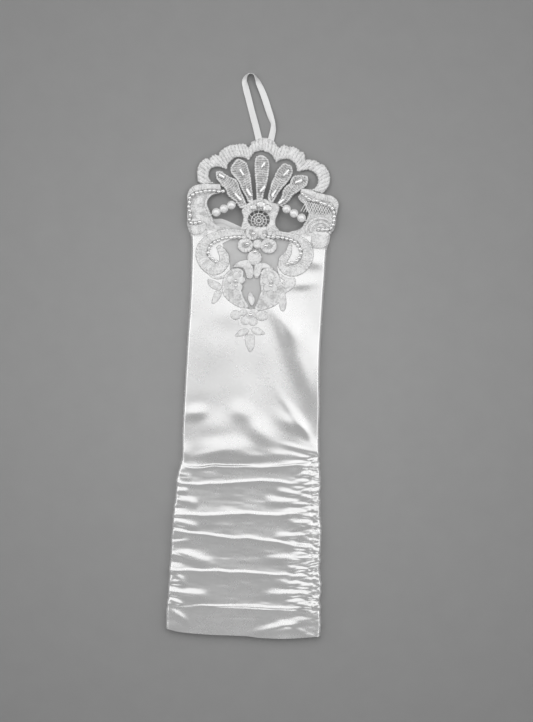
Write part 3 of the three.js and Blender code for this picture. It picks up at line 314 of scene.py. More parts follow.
def catmull(pts, closed, step):
    p = np.array([q[:2] if len(q) > 1 else q for q in pts], float)
    ex = np.array([q[2] if len(q) > 2 else 0 for q in pts], float)
    n = len(p)
    out = []
    segs = n if closed else n - 1
    for i in range(segs):
        idx = [(i - 1) % n, i, (i + 1) % n, (i + 2) % n] if closed else [max(i - 1, 0), i, i + 1, min(i + 2, n - 1)]
        a, b, c, d = (p[k] for k in idx)
        wb, wc = ex[idx[1]], ex[idx[2]]
        k = max(2, int(np.hypot(*(c - b)) / step) + 1)
        for t in np.linspace(0, 1, k, endpoint=False):
            q = 0.5 * ((2 * b) + (c - a) * t + (2 * a - 5 * b + 4 * c - d) * t * t + (3 * b - a - 3 * c + d) * t ** 3)
            out.append((q[0], q[1], wb + (wc - wb) * t))
    if not closed:
        out.append((p[-1][0], p[-1][1], ex[-1]))
    return np.array(out)


def resample(p, step, closed):
    q = np.vstack([p, p[:1]]) if closed else p
    s = np.concatenate([[0], np.cumsum(np.hypot(*np.diff(q[:, :2], axis=0).T))])
    n = max(3, int(round(s[-1] / step)))
    t = np.linspace(0, s[-1], n + 1)
    if closed:
        t = t[:-1]
    return np.stack([np.interp(t, s, q[:, k]) for k in range(q.shape[1])], 1)


def in_poly(x, y, poly):
    r = np.zeros(len(x), bool)
    n = len(poly)
    j = n - 1
    for i in range(n):
        xi, yi, xj, yj = poly[i][0], poly[i][1], poly[j][0], poly[j][1]
        c = ((yi > y) != (yj > y)) & (x < (xj - xi) * (y - yi) / (yj - yi + 1e-12) + xi)
        r ^= c
        j = i
    return r


def seg_dist(x, y, line, closed=True, want_s=False):
    """distance to a polyline, and the arc length and side of the nearest point"""
    P = np.asarray(line, float)[:, :2]
    Q = np.roll(P, -1, 0) if closed else P[1:]
    P = P if closed else P[:-1]
    d = Q - P
    L2 = (d ** 2).sum(1) + 1e-12
    cum = np.concatenate([[0], np.cumsum(np.sqrt(L2))])[:-1]
    best = np.full(len(x), 1e9)
    s = np.zeros(len(x))
    side = np.zeros(len(x))
    for k in range(len(P)):
        t = np.clip(((x - P[k, 0]) * d[k, 0] + (y - P[k, 1]) * d[k, 1]) / L2[k], 0, 1)
        ex, ey = x - (P[k, 0] + t * d[k, 0]), y - (P[k, 1] + t * d[k, 1])
        r = np.hypot(ex, ey)
        m = r < best
        best = np.where(m, r, best)
        if want_s:
            s = np.where(m, cum[k] + t * math.sqrt(L2[k]), s)
            side = np.where(m, np.sign(d[k, 0] * ey - d[k, 1] * ex), side)
    return (best, s, side) if want_s else best


def cdt(outer, holes, step):
    """points and triangles inside a closed outline: boundary points first"""
    loops = [outer] + list(holes)
    pts, edges = [], []
    for lp in loops:
        k = len(pts)
        n = len(lp)
        pts += [tuple(q[:2]) for q in lp]
        edges += [(k + i, k + (i + 1) % n) for i in range(n)]
    nb = len(pts)
    o = np.array(outer)[:, :2]
    lo, hi = o.min(0), o.max(0)
    xs, ys = np.arange(lo[0], hi[0], step), np.arange(lo[1], hi[1], step * 0.866)
    gx, gy = np.meshgrid(xs, ys)
    gx = gx + (np.arange(len(ys)) % 2)[:, None] * step / 2
    gx, gy = gx.ravel(), gy.ravel()
    m = in_poly(gx, gy, outer)
    for h in holes:
        m &= ~in_poly(gx, gy, h)
    gx, gy = gx[m], gy[m]
    d = np.full(len(gx), 1e9)
    for lp in loops:
        d = np.minimum(d, seg_dist(gx, gy, lp))
    m = d > 0.55 * step
    gx, gy = gx[m], gy[m]
    allp = [Vector(p) for p in pts] + [Vector((a, b)) for a, b in zip(gx, gy)]
    v, e, f, *_ = mgeo.delaunay_2d_cdt(allp, edges, [], 0, 1e-5)
    V = np.array([(a.x, a.y) for a in v])
    F = np.array([t for t in f if len(t) == 3])
    c = V[F].mean(1)
    m = in_poly(c[:, 0], c[:, 1], outer)
    for h in holes:
        m &= ~in_poly(c[:, 0], c[:, 1], h)
    F = F[m]
    a, b, cc = V[F[:, 0]], V[F[:, 1]], V[F[:, 2]]
    ar = (b[:, 0] - a[:, 0]) * (cc[:, 1] - a[:, 1]) - (b[:, 1] - a[:, 1]) * (cc[:, 0] - a[:, 0])
    F = F[np.abs(ar) > 1e-9]
    ar = ar[np.abs(ar) > 1e-9]
    F[ar < 0] = F[ar < 0][:, ::-1]
    used = np.unique(F)
    remap = -np.ones(len(V), int)
    remap[used] = np.arange(len(used))
    return V[used], remap[F]


def close_sheet(V, F, ztop, zbot):
    """top, bottom and rim of a flat triangulation"""
    n = len(V)
    verts = np.vstack([np.column_stack([V, ztop]), np.column_stack([V, zbot])])
    faces = [tuple(f) for f in F] + [(f[2] + n, f[1] + n, f[0] + n) for f in F]
    E = np.vstack([F[:, [0, 1]], F[:, [1, 2]], F[:, [2, 0]]])
    key = {}
    for a, b in E:
        key[(a, b)] = 1
    rim = [(b, a, a + n, b + n) for (a, b) in key if (b, a) not in key]
    return verts, faces + rim


def skirted(V, F, ztop, zbot, spread):
    """closed shape whose foot spreads outwards; gives its rim face count too"""
    n = len(V)
    foot = V.copy()
    E = np.vstack([F[:, [0, 1]], F[:, [1, 2]], F[:, [2, 0]]])
    key = set(map(tuple, E.tolist()))
    edge = [(a, b) for (a, b) in key if (b, a) not in key]
    edge.sort()
    acc = np.zeros((n, 2))
    for a, b in edge:
        d = V[b] - V[a]
        m = np.array([d[1], -d[0]]) / (np.hypot(*d) + 1e-9)
        acc[a] += m
        acc[b] += m
    L = np.hypot(acc[:, 0], acc[:, 1])
    k = L > 0.3
    foot[k] += spread * acc[k] / L[k][:, None]
    verts = np.vstack([np.column_stack([V, ztop]), np.column_stack([foot, zbot])])
    faces = [tuple(f) for f in F] + [(f[2] + n, f[1] + n, f[0] + n) for f in F]
    rim = [(b, a, a + n, b + n) for a, b in edge]
    return verts, faces + rim, len(rim)


def band_outline(line):
    """outline of a band along x, y, width"""
    p = np.asarray(line, float)
    t = np.gradient(p[:, :2], axis=0)
    t /= np.linalg.norm(t, axis=1)[:, None] + 1e-9
    nrm = np.column_stack([-t[:, 1], t[:, 0]])
    h = p[:, 2:3] / 2
    return np.vstack([p[:, :2] + nrm * h, (p[:, :2] - nrm * h)[::-1]])


GROOVES = [resample(catmull(D[k], False, 0.8)[:, :2], 0.8, False) for k in ("beads_sl", "beads_sr", "beads_cl", "beads_cr")]


class Part:
    """collects embroidered shapes into one mesh"""

    def __init__(self):
        self.v, self.f, self.n, self.mi = [], [], 0, []

    def put(self, verts, faces, mi=None):
        self.v.append(np.asarray(verts, float))
        self.f += [tuple(i + self.n for i in f) for f in faces]
        self.mi += list(mi) if mi is not None else [0] * len(faces)
        self.n += len(verts)

    def emb(self, outline, closed_smooth=True, T=0.9, R=1.5, step=0.36, spine=None, pitch=1.15, rib=0.17, slant=0.0, lift=0.0, base=None, centre=None, rim=None, floor=0.35, holes=(), z=None, fray=0.0, groove=True, skirt=0.26, trough=-0.62, deep=None):
        """one padded embroidered shape on the ground below it. rim: width of the raised edge cord of an open-work shape."""
        o = catmull(outline, True, step * 1.2)[:, :2] if closed_smooth else np.asarray(outline, float)[:, :2]
        o = resample(o, step, True)
        if fray:
            tg = np.roll(o, -1, 0) - np.roll(o, 1, 0)
            tg /= np.linalg.norm(tg, axis=1)[:, None] + 1e-9
            k = np.arange(len(o)) * step
            o = o + np.column_stack([tg[:, 1], -tg[:, 0]]) * (fray * (vnoise(k / 0.75, k * 0, 33) * 0.6 + np.sin(k * 2 * math.pi / 2.1) * 0.4))[:, None]
        hs = [resample(catmull(h, True, step * 1.2)[:, :2], step, True) for h in holes]
        V, F = cdt(o, hs, step)
        x, y = V[:, 0], V[:, 1]
        d = seg_dist(x, y, o)
        for h in hs:
            d = np.minimum(d, seg_dist(x, y, h))
        if spine is not None:
            sp = np.asarray(spine, float)
            off, s, side = seg_dist(x, y, sp, False, True)
            phase = s + slant * off
        elif centre is not None:
            a = np.arctan2(y - centre[1], x - centre[0])
            phase = a * centre[2]
            off = d
        else:
            phase = y * math.cos(slant) + x * math.sin(slant)
            off = d
        ribs = np.sin(phase * 2 * math.pi / pitch + 0.9 * vnoise(phase / 2.3, off / 2.0, 19)) + 0.55 * vnoise(phase / (pitch * 0.43), off * 0.7, 13)
        if rim:
            q = np.clip(d / rim, 0, 1)
            cord = np.sqrt(np.maximum(1 - (2 * q - 1) ** 2, 0)) * (q < 1)
            h = np.where(d < rim, floor + (T - floor) * cord, floor)
            amp = rib * np.where(d < rim, 0.7, 1.6)
        else:
            q = np.clip(d / R, 0, 1)
            h = T * (0.22 + 0.78 * np.sqrt(np.maximum(1 - (1 - q) ** 2, 0)))
            amp = rib * smooth(0.05, 0.8, d)
        zb = (surf(x, y) if z is None else z(x, y)) + lift
        top = h + amp * ribs
        if groove:
            for g in GROOVES:
                if x.max() > g[:, 0].min() - 2 and x.min() < g[:, 0].max() + 2 and y.max() > g[:, 1].min() - 2 and y.min() < g[:, 1].max() + 2:
                    gd = seg_dist(x, y, g, closed=False)
                    top = top - 0.6 * np.minimum(T, 1.0) * np.exp(-(gd / 1.15) ** 4)
        top = zb + np.maximum(top, 0.12)
        verts, faces, nr = skirted(V, F, top, zb - 0.06, skirt)
        c = V[F].mean(1)
        inner = np.zeros(len(F), int)
        if rim:
            dc = seg_dist(c[:, 0], c[:, 1], o)
            inner = (dc > rim * 0.92).astype(int)
        # faces along the bead strings take the dark material: painted shade round the beads
        if groove:
            for g in GROOVES:
                if x.max() > g[:, 0].min() - 2 and x.min() < g[:, 0].max() + 2 and y.max() > g[:, 1].min() - 2 and y.min() < g[:, 1].max() + 2:
                    inner[seg_dist(c[:, 0], c[:, 1], g, closed=False) < 1.25] = 2
        # faces in the rib troughs take the darker stitch material: painted shade in the troughs
        rf = ribs[F].mean(1)
        inner[(inner == 0) & (rf < trough)] = 3
        # in a petal's net, faces in the rib troughs take the dark material, painted shade; faces on the crests take the
        # stitch material
        if deep is not None:
            inner[(inner == 1) & (rf < deep)] = 2
            inner[(inner == 1) & (rf > deep + 1.1)] = 3
        # the spread foot round every shape takes the dark material: a painted shadow outline
        mi = list(inner) + [0] * len(F) + [2] * nr
        self.put(verts, faces, mi)
        return self

    def band(self, line, **k):
        c = resample(catmull(line, False, 0.6), 0.6, False)
        k.setdefault("spine", c[:, :2])
        return self.emb(band_outline(c), closed_smooth=False, **k)

    def tube(self, pts, r, n=7, flat=1.0):
        p = np.asarray(pts, float)
        t = np.gradient(p, axis=0)
        t /= np.linalg.norm(t, axis=1)[:, None] + 1e-9
        up = np.array([0, 0, 1.0])
        sidev = np.cross(t, up)
        sidev /= np.linalg.norm(sidev, axis=1)[:, None] + 1e-9
        upv = np.cross(sidev, t)
        rr = np.broadcast_to(np.asarray(r, float), (len(p),))
        a = np.linspace(0, 2 * math.pi, n, endpoint=False) + math.pi / n + (math.pi / 2 if n % 2 else 0)
        ring = p[:, None] + rr[:, None, None] * (np.cos(a)[None, :, None] * sidev[:, None] + flat * np.sin(a)[None, :, None] * upv[:, None])
        verts = ring.reshape(-1, 3)
        faces = []
        for i in range(len(p) - 1):
            for j in range(n):
                k = (j + 1) % n
                faces.append((i * n + j, i * n + k, (i + 1) * n + k, (i + 1) * n + j))
        faces.append(tuple(range(n))[::-1])
        faces.append(tuple((len(p) - 1) * n + j for j in range(n)))
        # faces are turned outwards later, in make()
        self.put(verts, faces)
        return self

    def ball(self, c, r, nu=14, nv=9, stretch=(1, 1, 1), axis=None, bore=0.0, facet=False):
        """bead; axis turns its local z"""
        ph = np.linspace(bore, math.pi - bore, nv)
        a = np.linspace(0, 2 * math.pi, nu, endpoint=False)
        ring = np.stack([np.sin(ph)[:, None] * np.cos(a)[None], np.sin(ph)[:, None] * np.sin(a)[None], np.broadcast_to(np.cos(ph)[:, None], (nv, nu))], -1) * r * np.asarray(stretch)
        v = ring.reshape(-1, 3)
        if axis is not None:
            q = Vector((0, 0, 1)).rotation_difference(Vector(axis)).to_matrix()
            v = v @ np.array(q).T
        v = v + np.asarray(c, float)
        faces = []
        for i in range(nv - 1):
            for j in range(nu):
                k = (j + 1) % nu
                faces.append((i * nu + j, (i + 1) * nu + j, (i + 1) * nu + k, i * nu + k))
        faces.append(tuple(range(nu)))
        faces.append(tuple((nv - 1) * nu + j for j in range(nu))[::-1])
        self.put(v, faces)
        return self

    def make(self, name, sharp=70, shade=True):
        ob = new_mesh(name, np.vstack(self.v), self.f, shade)
        ob.data.polygons.foreach_set("material_index", np.array(self.mi, np.int32))
        bm = bmesh.new()
        bm.from_mesh(ob.data)
        bmesh.ops.recalc_face_normals(bm, faces=bm.faces)
        bm.to_mesh(ob.data)
        bm.free()
        if shade:
            mark_sharp(ob, sharp)
        return ob


# ---------------------------------------------------------------- materials
def nodes_of(name):
    m = bpy.data.materials.new(name)
    m.use_nodes = True
    nt = m.node_tree
    nt.nodes.clear()
    out = nt.nodes.new("ShaderNodeOutputMaterial")
    b = nt.nodes.new("ShaderNodeBsdfPrincipled")
    nt.links.new(b.outputs[0], out.inputs[0])
    return m, nt, b


def tex_coord(nt, scale=(1, 1, 1), rot=(0, 0, 0)):
    tc = nt.nodes.new("ShaderNodeTexCoord")
    mp = nt.nodes.new("ShaderNodeMapping")
    mp.inputs["Scale"].default_value = scale
    mp.inputs["Rotation"].default_value = rot
    nt.links.new(tc.outputs["Object"], mp.inputs["Vector"])
    return mp.outputs["Vector"]


def noise(nt, vec, scale, detail=3, rough=0.5):
    n = nt.nodes.new("ShaderNodeTexNoise")
    n.inputs["Scale"].default_value = scale
    n.inputs["Detail"].default_value = detail
    n.inputs["Roughness"].default_value = rough
    nt.links.new(vec, n.inputs["Vector"])
    return n.outputs["Fac"]


def ramp(nt, fac, stops):
    r = nt.nodes.new("ShaderNodeValToRGB")
    el = r.color_ramp.elements
    while len(el) < len(stops):
        el.new(0.5)
    for e, (p, c) in zip(el, stops):
        e.position = p
        e.color = (c, c, c, 1) if not hasattr(c, "__len__") else (*c, 1)
    nt.links.new(fac, r.inputs["Fac"])
    return r.outputs["Color"]


def bump_node(nt, height, strength, dist, prev=None):
    b = nt.nodes.new("ShaderNodeBump")
    b.inputs["Strength"].default_value = strength
    b.inputs["Distance"].default_value = dist
    nt.links.new(height, b.inputs["Height"])
    if prev is not None:
        nt.links.new(prev, b.inputs["Normal"])
    return b.outputs["Normal"]


def add2(nt, a, b, op="ADD", k=None):
    m = nt.nodes.new("ShaderNodeMath")
    m.operation = op
    nt.links.new(a, m.inputs[0])
    if b is None:
        m.inputs[1].default_value = k
    else:
        nt.links.new(b, m.inputs[1])
    return m.outputs[0]


def satin(name, lo, hi, rough=0.3, metal=0.4, warm=(1, 1, 1)):
    m, nt, b = nodes_of(name)
    v = tex_coord(nt)
    big = noise(nt, v, 38, 3, 0.55)
    col = ramp(nt, big, [(0.3, tuple(lo * w for w in warm)), (0.7, tuple(hi * w for w in warm))])
    nt.links.new(col, b.inputs["Base Color"])
    # long floats of the satin weave run along the glove, fine cross ribs between them
    vw = tex_coord(nt, (1500, 380, 1500))
    warp = noise(nt, vw, 1.0, 2, 0.6)
    vf = tex_coord(nt, (380, 1500, 380))
    weft = noise(nt, vf, 1.0, 2, 0.6)
    both = add2(nt, warp, weft)
    fine = noise(nt, v, 620, 1, 0.5)
    n1 = bump_node(nt, both, 0.035, 0.00008)
    n2 = bump_node(nt, fine, 0.10, 0.00018, n1)
    nt.links.new(n2, b.inputs["Normal"])
    r = ramp(nt, noise(nt, v, 120, 3, 0.6), [(0.2, rough - 0.03), (0.8, rough + 0.05)])
    nt.links.new(r, b.inputs["Roughness"])
    b.inputs["Metallic"].default_value = metal
    b.inputs["Specular IOR Level"].default_value = 0.5
    b.inputs["Sheen Weight"].default_value = 0.12
    b.inputs["Sheen Roughness"].default_value = 0.4
    return m


def embroidery(name, lo, hi, rough=0.6, stitch=0.35):
    m, nt, b = nodes_of(name)
    v = tex_coord(nt)
    tone = add2(nt, noise(nt, v, 240, 3, 0.6), noise(nt, v, 820, 2, 0.55))
    half = add2(nt, tone, None, "MULTIPLY", 0.5)
    nt.links.new(ramp(nt, half, [(0.42, lo), (0.56, hi)]), b.inputs["Base Color"])
    th = noise(nt, tex_coord(nt, (2300, 2300, 2300)), 1.0, 2, 0.5)
    n1 = bump_node(nt, th, stitch, 0.00025)
    nt.links.new(n1, b.inputs["Normal"])
    r = ramp(nt, noise(nt, v, 700, 2, 0.5), [(0.2, rough - 0.08), (0.8, rough + 0.08)])
    nt.links.new(r, b.inputs["Roughness"])
    b.inputs["Sheen Weight"].default_value = 0.25
    b.inputs["Sheen Roughness"].default_value = 0.5
    return m


def beady(name, lo, hi, rough=0.16, metal=0.0, coat=0.4, trans=0.0, scale=500):
    m, nt, b = nodes_of(name)
    v = tex_coord(nt)
    nt.links.new(ramp(nt, noise(nt, v, scale, 2, 0.5), [(0.3, lo), (0.7, hi)]), b.inputs["Base Color"])
    r = ramp(nt, noise(nt, v, scale * 2, 2, 0.5), [(0.2, max(rough - 0.04, 0.02)), (0.8, rough + 0.05)])
    nt.links.new(r, b.inputs["Roughness"])
    b.inputs["Metallic"].default_value = metal
    b.inputs["Coat Weight"].default_value = coat
    b.inputs["Coat Roughness"].default_value = 0.08
    if trans:
        b.inputs["Transmission Weight"].default_value = trans
    return m


def sheer(name, lo, hi, alpha):
    m, nt, b = nodes_of(name)
    v = tex_coord(nt)
    g = tex_coord(nt, (1250, 1250, 1250), (0, 0, math.radians(38)))
    vo = nt.nodes.new("ShaderNodeTexVoronoi")
    vo.feature = "DISTANCE_TO_EDGE"
    vo.inputs["Scale"].default_value = 1.0
    vo.inputs["Randomness"].default_value = 0.25
    nt.links.new(g, vo.inputs["Vector"])
    nt.links.new(ramp(nt, noise(nt, v, 90, 3, 0.5), [(0.3, lo), (0.7, hi)]), b.inputs["Base Color"])
    al = ramp(nt, vo.outputs["Distance"], [(0.10, 1.0), (0.30, alpha)])
    nt.links.new(al, b.inputs["Alpha"])
    n1 = bump_node(nt, vo.outputs["Distance"], -0.4, 0.0002)
    nt.links.new(n1, b.inputs["Normal"])
    b.inputs["Roughness"].default_value = 0.55
    b.inputs["Sheen Weight"].default_value = 0.2
    return m


MAT = {
    "satin": satin("satin_white", 0.82, 0.87, 0.255, 0.6),
    "back": satin("satin_palm", 0.76, 0.82, 0.36, 0.25),
    "ribbon": satin("ribbon_satin", 0.80, 0.86, 0.36, 0.2),
    "lace": embroidery("lace_cord", 0.78, 0.98),
    "net": embroidery("lace_net", 0.50, 0.80, 0.65, 0.5),
    "ground": embroidery("lace_ground", 0.58, 0.86, 0.62, 0.45),
    "lace2": embroidery("lace_field", 0.70, 0.94),
    "stitch": embroidery("lace_stitch_shade", 0.56, 0.76, 0.66, 0.4),
    # edge: dark grey painted shadow, put on the feet of the lace shapes, along the bead strings, in the petal troughs
    # and under the corner lattice
    "edge": embroidery("lace_painted_shadow", 0.34, 0.50, 0.75, 0.4),
    "thread": embroidery("bead_thread", 0.74, 0.84),
    "elastic": embroidery("elastic_tape", 0.70, 0.80, 0.7, 0.5),
    "organza": sheer("organza_mesh", 0.60, 0.70, 0.74),
    "pearl": beady("pearl_coat", 0.93, 1.0, 0.38, 0.30, 0.2),
    "seed": beady("seed_coat", 0.90, 0.99, 0.20, 0.80, 0.3),
    "crystal": beady("cut_crystal", 0.86, 0.97, 0.10, 0.72, 0.3, 0.0),
    "gem": beady("faceted_glass", 0.60, 0.80, 0.12, 0.45, 0.3, 0.0),
}

MADE = []


def place(ob, mat, nodes, body, rng_mm=None):
    mi = np.zeros(len(ob.data.polygons), np.int32)
    ob.data.polygons.foreach_get("material_index", mi)
    ob.data.materials.clear()
    if isinstance(mat, list) and len(mat) == 3:
        mat = mat + ["stitch"]
    for m in (mat if isinstance(mat, (list, tuple)) else [mat]):
        ob.data.materials.append(MAT[m])
    ob.data.polygons.foreach_set("material_index", mi)
    y = np.array([v.co.y for v in ob.data.vertices]) * 1000
    if body in ("hand", "crown") and y.max() > FOLD_Y - 6 and y.min() < FOLD_Y + 6:
        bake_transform(ob)
    else:
        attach(ob, body)
    if nodes:
        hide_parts(*nodes)
    MADE.append(ob)
    return ob


# ---------------------------------------------------------------- satin, back of the hand and forearm
GX = 112


def grid_rows(ys):
    u = np.linspace(-1, 1, GX + 1)
    u = np.sign(u) * (1 - (1 - np.abs(u)) ** 1.25)  # closer rows near the side edges
    return u


def hem_y(x):
    a = np.array(sorted([(p[0], p[1]) for p in D["hem"]]))
    return np.interp(x, a[:, 0], a[:, 1])


def lower_sheet(name, zfun, thick, down):
    ys = np.concatenate([np.arange(-183.0, -54.0, 0.5), np.linspace(-54.0, SPLIT_Y, 72)]) if down else np.linspace(-183.0, SPLIT_Y, 240)
    u = grid_rows(None)
    Y, U = np.meshgrid(ys, u, indexing="ij")
    l, r = edge_l(Y), edge_r(Y)
    X = (l + r) / 2 + U * (r - l) / 2
    t = smooth(-163, -183, Y)
    Y = Y + t * (hem_y(X) + 183.0)
    Z = zfun(X, Y)
    top = np.stack([X, Y, Z], -1).reshape(-1, 3)
    bot = np.stack([X, Y, Z - thick], -1).reshape(-1, 3)
    n, m = len(ys), len(u)
    N = n * m
    idx = np.arange(N).reshape(n, m)
    a, b, c, d = idx[:-1, :-1], idx[:-1, 1:], idx[1:, 1:], idx[1:, :-1]
    q = np.stack([a, b, c, d], -1).reshape(-1, 4)
    faces = np.vstack([q, q[:, ::-1] + N])
    rim = []
    loop = list(idx[0, :]) + list(idx[1:, -1]) + list(idx[-1, ::-1][1:]) + list(idx[::-1, 0][1:-1])
    for i in range(len(loop)):
        p, s = loop[i], loop[(i + 1) % len(loop)]
        rim.append((s, p, p + N, s + N))
    ob = new_mesh(name, np.vstack([top, bot]), list(map(tuple, faces)) + rim)
    return mark_sharp(ob, 55), X[-1]


satin_low, split_x = lower_sheet("satin_sleeve_front", front, 0.45, True)


def blend_wrist(ob):
    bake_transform(ob)


satin_low.data.materials.append(MAT["satin"])
blend_wrist(satin_low)
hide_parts("forearm_front_panel", "hem_band_front")

# upper part, with the organza window and the two corner tabs beyond the hand opening
yl = [p for p in D["leftedge"] if SPLIT_Y + 0.5 < p[1] < 78]
yr = [p for p in D["rightedge"] if SPLIT_Y + 0.5 < p[1] < 79]
left = sorted(yl, key=lambda p: p[1])
right = sorted(yr, key=lambda p: -p[1])
tabl = D["tab_l"][::-1]
tabr = D["tab_r"][::-1]
hl, hr = D["hole_l"], D["hole_r"]
low_edge = [(x, SPLIT_Y) for x in split_x[::-1]]  # right to left along the joint line
cn = lambda pts, step=1.0: [tuple(q) for q in resample(catmull(pts, False, step)[:, :2], step, False)]
# hole edges, from the corner tabs down and back up, leave a middle tongue under the lace
left_in = [(-29.0, 107.0), (-30.0, 104.0), (-36.0, 101.5), (-37.9, 97.0), (-36.4, 92.8), (-34.8, 89.2), (-32.4, 83.5), (-29.0, 81.6), (-24.4, 81.2), (-18.5, 80.7), (-14.6, 81.5)]
mid_in = [(-13.0, 82.5), (-9.0, 80.0), (-2.5, 78.9), (4.0, 79.6), (8.4, 81.0)]
right_in = [(10.8, 80.6), (15.7, 79.9), (18.4, 80.7), (22.3, 81.9), (25.0, 83.8), (26.9, 87.0), (28.3, 91.6), (28.9, 93.8), (26.8, 95.3), (25.9, 98.8), (23.3, 100.6), (21.4, 103.6), (24.0, 106.8)]
outline = cn([(float(split_x[0]), SPLIT_Y)] + left + tabl[:]) + cn(left_in + mid_in + right_in) + cn(tabr[::-1][0:]) + cn(right)
# assemble clockwise-safe: left side up, across the top, right side down, joint line back
up_left = cn([(float(split_x[0]), SPLIT_Y)] + left + [p for p in tabl if p[1] > 79])
top_run = cn([(-30.2, 107.9)] + left_in + mid_in + right_in + [(25.5, 108.0)])
dn_right = cn([p for p in D["tab_r"] if p[1] > 79.5] + right + [(float(split_x[-1]), SPLIT_Y)])
poly = up_left + top_run + dn_right[:-1] + low_edge[:-1]
clean = [poly[0]]
for p in poly[1:]:
    if math.hypot(p[0] - clean[-1][0], p[1] - clean[-1][1]) > 0.12:
        clean.append(p)
Vu, Fu = cdt(clean, [cn(D["window"] + D["window"][:1])[:-1]], 0.95)
zu = surf(Vu[:, 0], Vu[:, 1])
zu = zu + np.where(Vu[:, 1] > 78.5, 0.16 * vnoise(Vu[:, 0] / 0.9, Vu[:, 1] / 0.9, 83) + 0.14 * np.sin(Vu[:, 0] * 1.9 + 1.5 * vnoise(Vu[:, 0] / 4, Vu[:, 1] / 4, 7)) * np.sin(Vu[:, 1] * 1.7), 0)
vv, ff = close_sheet(Vu, Fu, zu, zu - 0.45)
satin_up = new_mesh("satin_hand_front", vv, ff)
mark_sharp(satin_up, 55)
satin_up.data.materials.append(MAT["satin"])
satin_up.data.materials.append(MAT["ground"])
satin_up.data.materials.append(MAT["edge"])
# patch of satin under the right corner's thread lattice takes the dark material: painted shade seen through the lattice
LATTICE_SHADE_PATCH = [(26.8, 101.2), (30.5, 101.6), (36.0, 99.6), (42.5, 97.2), (44.0, 94.6), (40.0, 93.0), (33.0, 93.4), (28.8, 95.2)]
for pl in satin_up.data.polygons:
    c = pl.center
    if c.y > 0.0785 or (c.x < -0.036 and c.y > 0.0745) or (c.x > 0.031 and c.y > 0.0700):
        pl.material_index = 1
    if in_poly(np.array([c.x * 1000]), np.array([c.y * 1000]), LATTICE_SHADE_PATCH)[0]:
        pl.material_index = 2
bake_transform(satin_up)
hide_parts("hand_front_panel", "corner_tab_left", "corner_tab_right")

# ---------------------------------------------------------------- palm side
def palm(x, y):
    x, y = np.asarray(x, float), np.asarray(y, float)
    u = np.abs(uof(x, np.minimum(y, 78)))
    return 0.48 + 0.10 * (1 + fbm(x / 15, y / 9, 61, 2)) * (1 - np.clip(u, 0, 1) ** 6)


def palm_low(x, y):
    return palm(x, y)


palm_lo, _ = lower_sheet("satin_sleeve_palm", palm_low, 0.42, False)
palm_lo.data.materials.append(MAT["back"])
blend_wrist(palm_lo)
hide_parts("forearm_palm_panel", "hem_band_palm")
ptop = D["palm_top"]
ptop = [p for p in ptop if -46.8 < p[0] < 42.5]
pp = cn([(float(split_x[0]), SPLIT_Y)] + left) + cn([(-47.0, 86.5)] + ptop + [(43.0, 81.2)]) + cn(right + [(float(split_x[-1]), SPLIT_Y)])[:-1] + low_edge[:-1]
clean = [pp[0]]
for p in pp[1:]:
    if math.hypot(p[0] - clean[-1][0], p[1] - clean[-1][1]) > 0.12:
        clean.append(p)
Vp, Fp = cdt(clean, [], 1.5)
zp = palm(Vp[:, 0], Vp[:, 1])
vv, ff = close_sheet(Vp, Fp, zp, zp - 0.42)
palm_up = mark_sharp(new_mesh("satin_hand_palm", vv, ff), 55)
palm_up.data.materials.append(MAT["back"])
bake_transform(palm_up)
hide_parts("hand_palm_panel")
q = Part()
hemline = [(a, b - 1.5, 3.0) for a, b in ptop if a > -46]
q.band(hemline, T=0.22, R=0.5, step=0.6, rib=0.02, pitch=1.6, lift=0.0, z=palm, skirt=0.0, groove=False)
ob = q.make("palm_opening_hem")
for _ in range(3):
    ob.data.materials.append(MAT["back"])
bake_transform(ob)
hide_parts("palm_top_hem")

# ---------------------------------------------------------------- organza
ow = cn(D["window"] + D["window"][:1], 0.9)[:-1]
oc = np.mean(np.array(ow), 0)
ow = [(oc[0] + (a - oc[0]) * 1.05, oc[1] + (b - oc[1]) * 1.04) for a, b in ow]
Vo, Fo = cdt(ow, [], 0.9)
zo = front(Vo[:, 0], Vo[:, 1]) - 0.62 + 0.05 * fbm(Vo[:, 0] / 5, Vo[:, 1] / 5, 71, 2)
vv, ff = close_sheet(Vo, Fo, zo, zo - 0.16)
org = mark_sharp(new_mesh("organza_window", vv, ff), 55)
place(org, "organza", ["organza_inset"], "hand")

# ---------------------------------------------------------------- seam allowances and elastic, inside
def strip(name, off0, off1, y0, y1, z0, th, wave, mat, nodes, right_side):
    ys = np.arange(y0, y1, 1.6)
    us = np.linspace(0, 1, 5)
    Y, U = np.meshgrid(ys, us, indexing="ij")
    E = edge_r(Y) if right_side else edge_l(Y)
    sgn = -1 if right_side else 1
    X = E + sgn * (off0 + (off1 - off0) * U + 0.25 * vnoise(Y / 5, U, 5))
    Z = z0 + wave * np.sin(Y * 1.1 + U) * U + 0.1 * vnoise(Y / 3, U * 2, 9)
    n, m = Y.shape
    N = n * m
    idx = np.arange(N).reshape(n, m)
    qd = np.stack([idx[:-1, :-1], idx[:-1, 1:], idx[1:, 1:], idx[1:, :-1]], -1).reshape(-1, 4)
    loop = list(idx[0, :]) + list(idx[1:, -1]) + list(idx[-1, ::-1][1:]) + list(idx[::-1, 0][1:-1])
    rim = [(loop[(i + 1) % len(loop)], loop[i], loop[i] + N, loop[(i + 1) % len(loop)] + N) for i in range(len(loop))]
    v = np.vstack([np.stack([X, Y, Z + th], -1).reshape(-1, 3), np.stack([X, Y, Z], -1).reshape(-1, 3)])
    p = Part()
    p.put(v, list(map(tuple, np.vstack([qd, qd[:, ::-1] + N]))) + rim)
    ob = p.make(name, 55)
    return place(ob, mat, nodes, "forearm" if y1 < 0 else "hand")


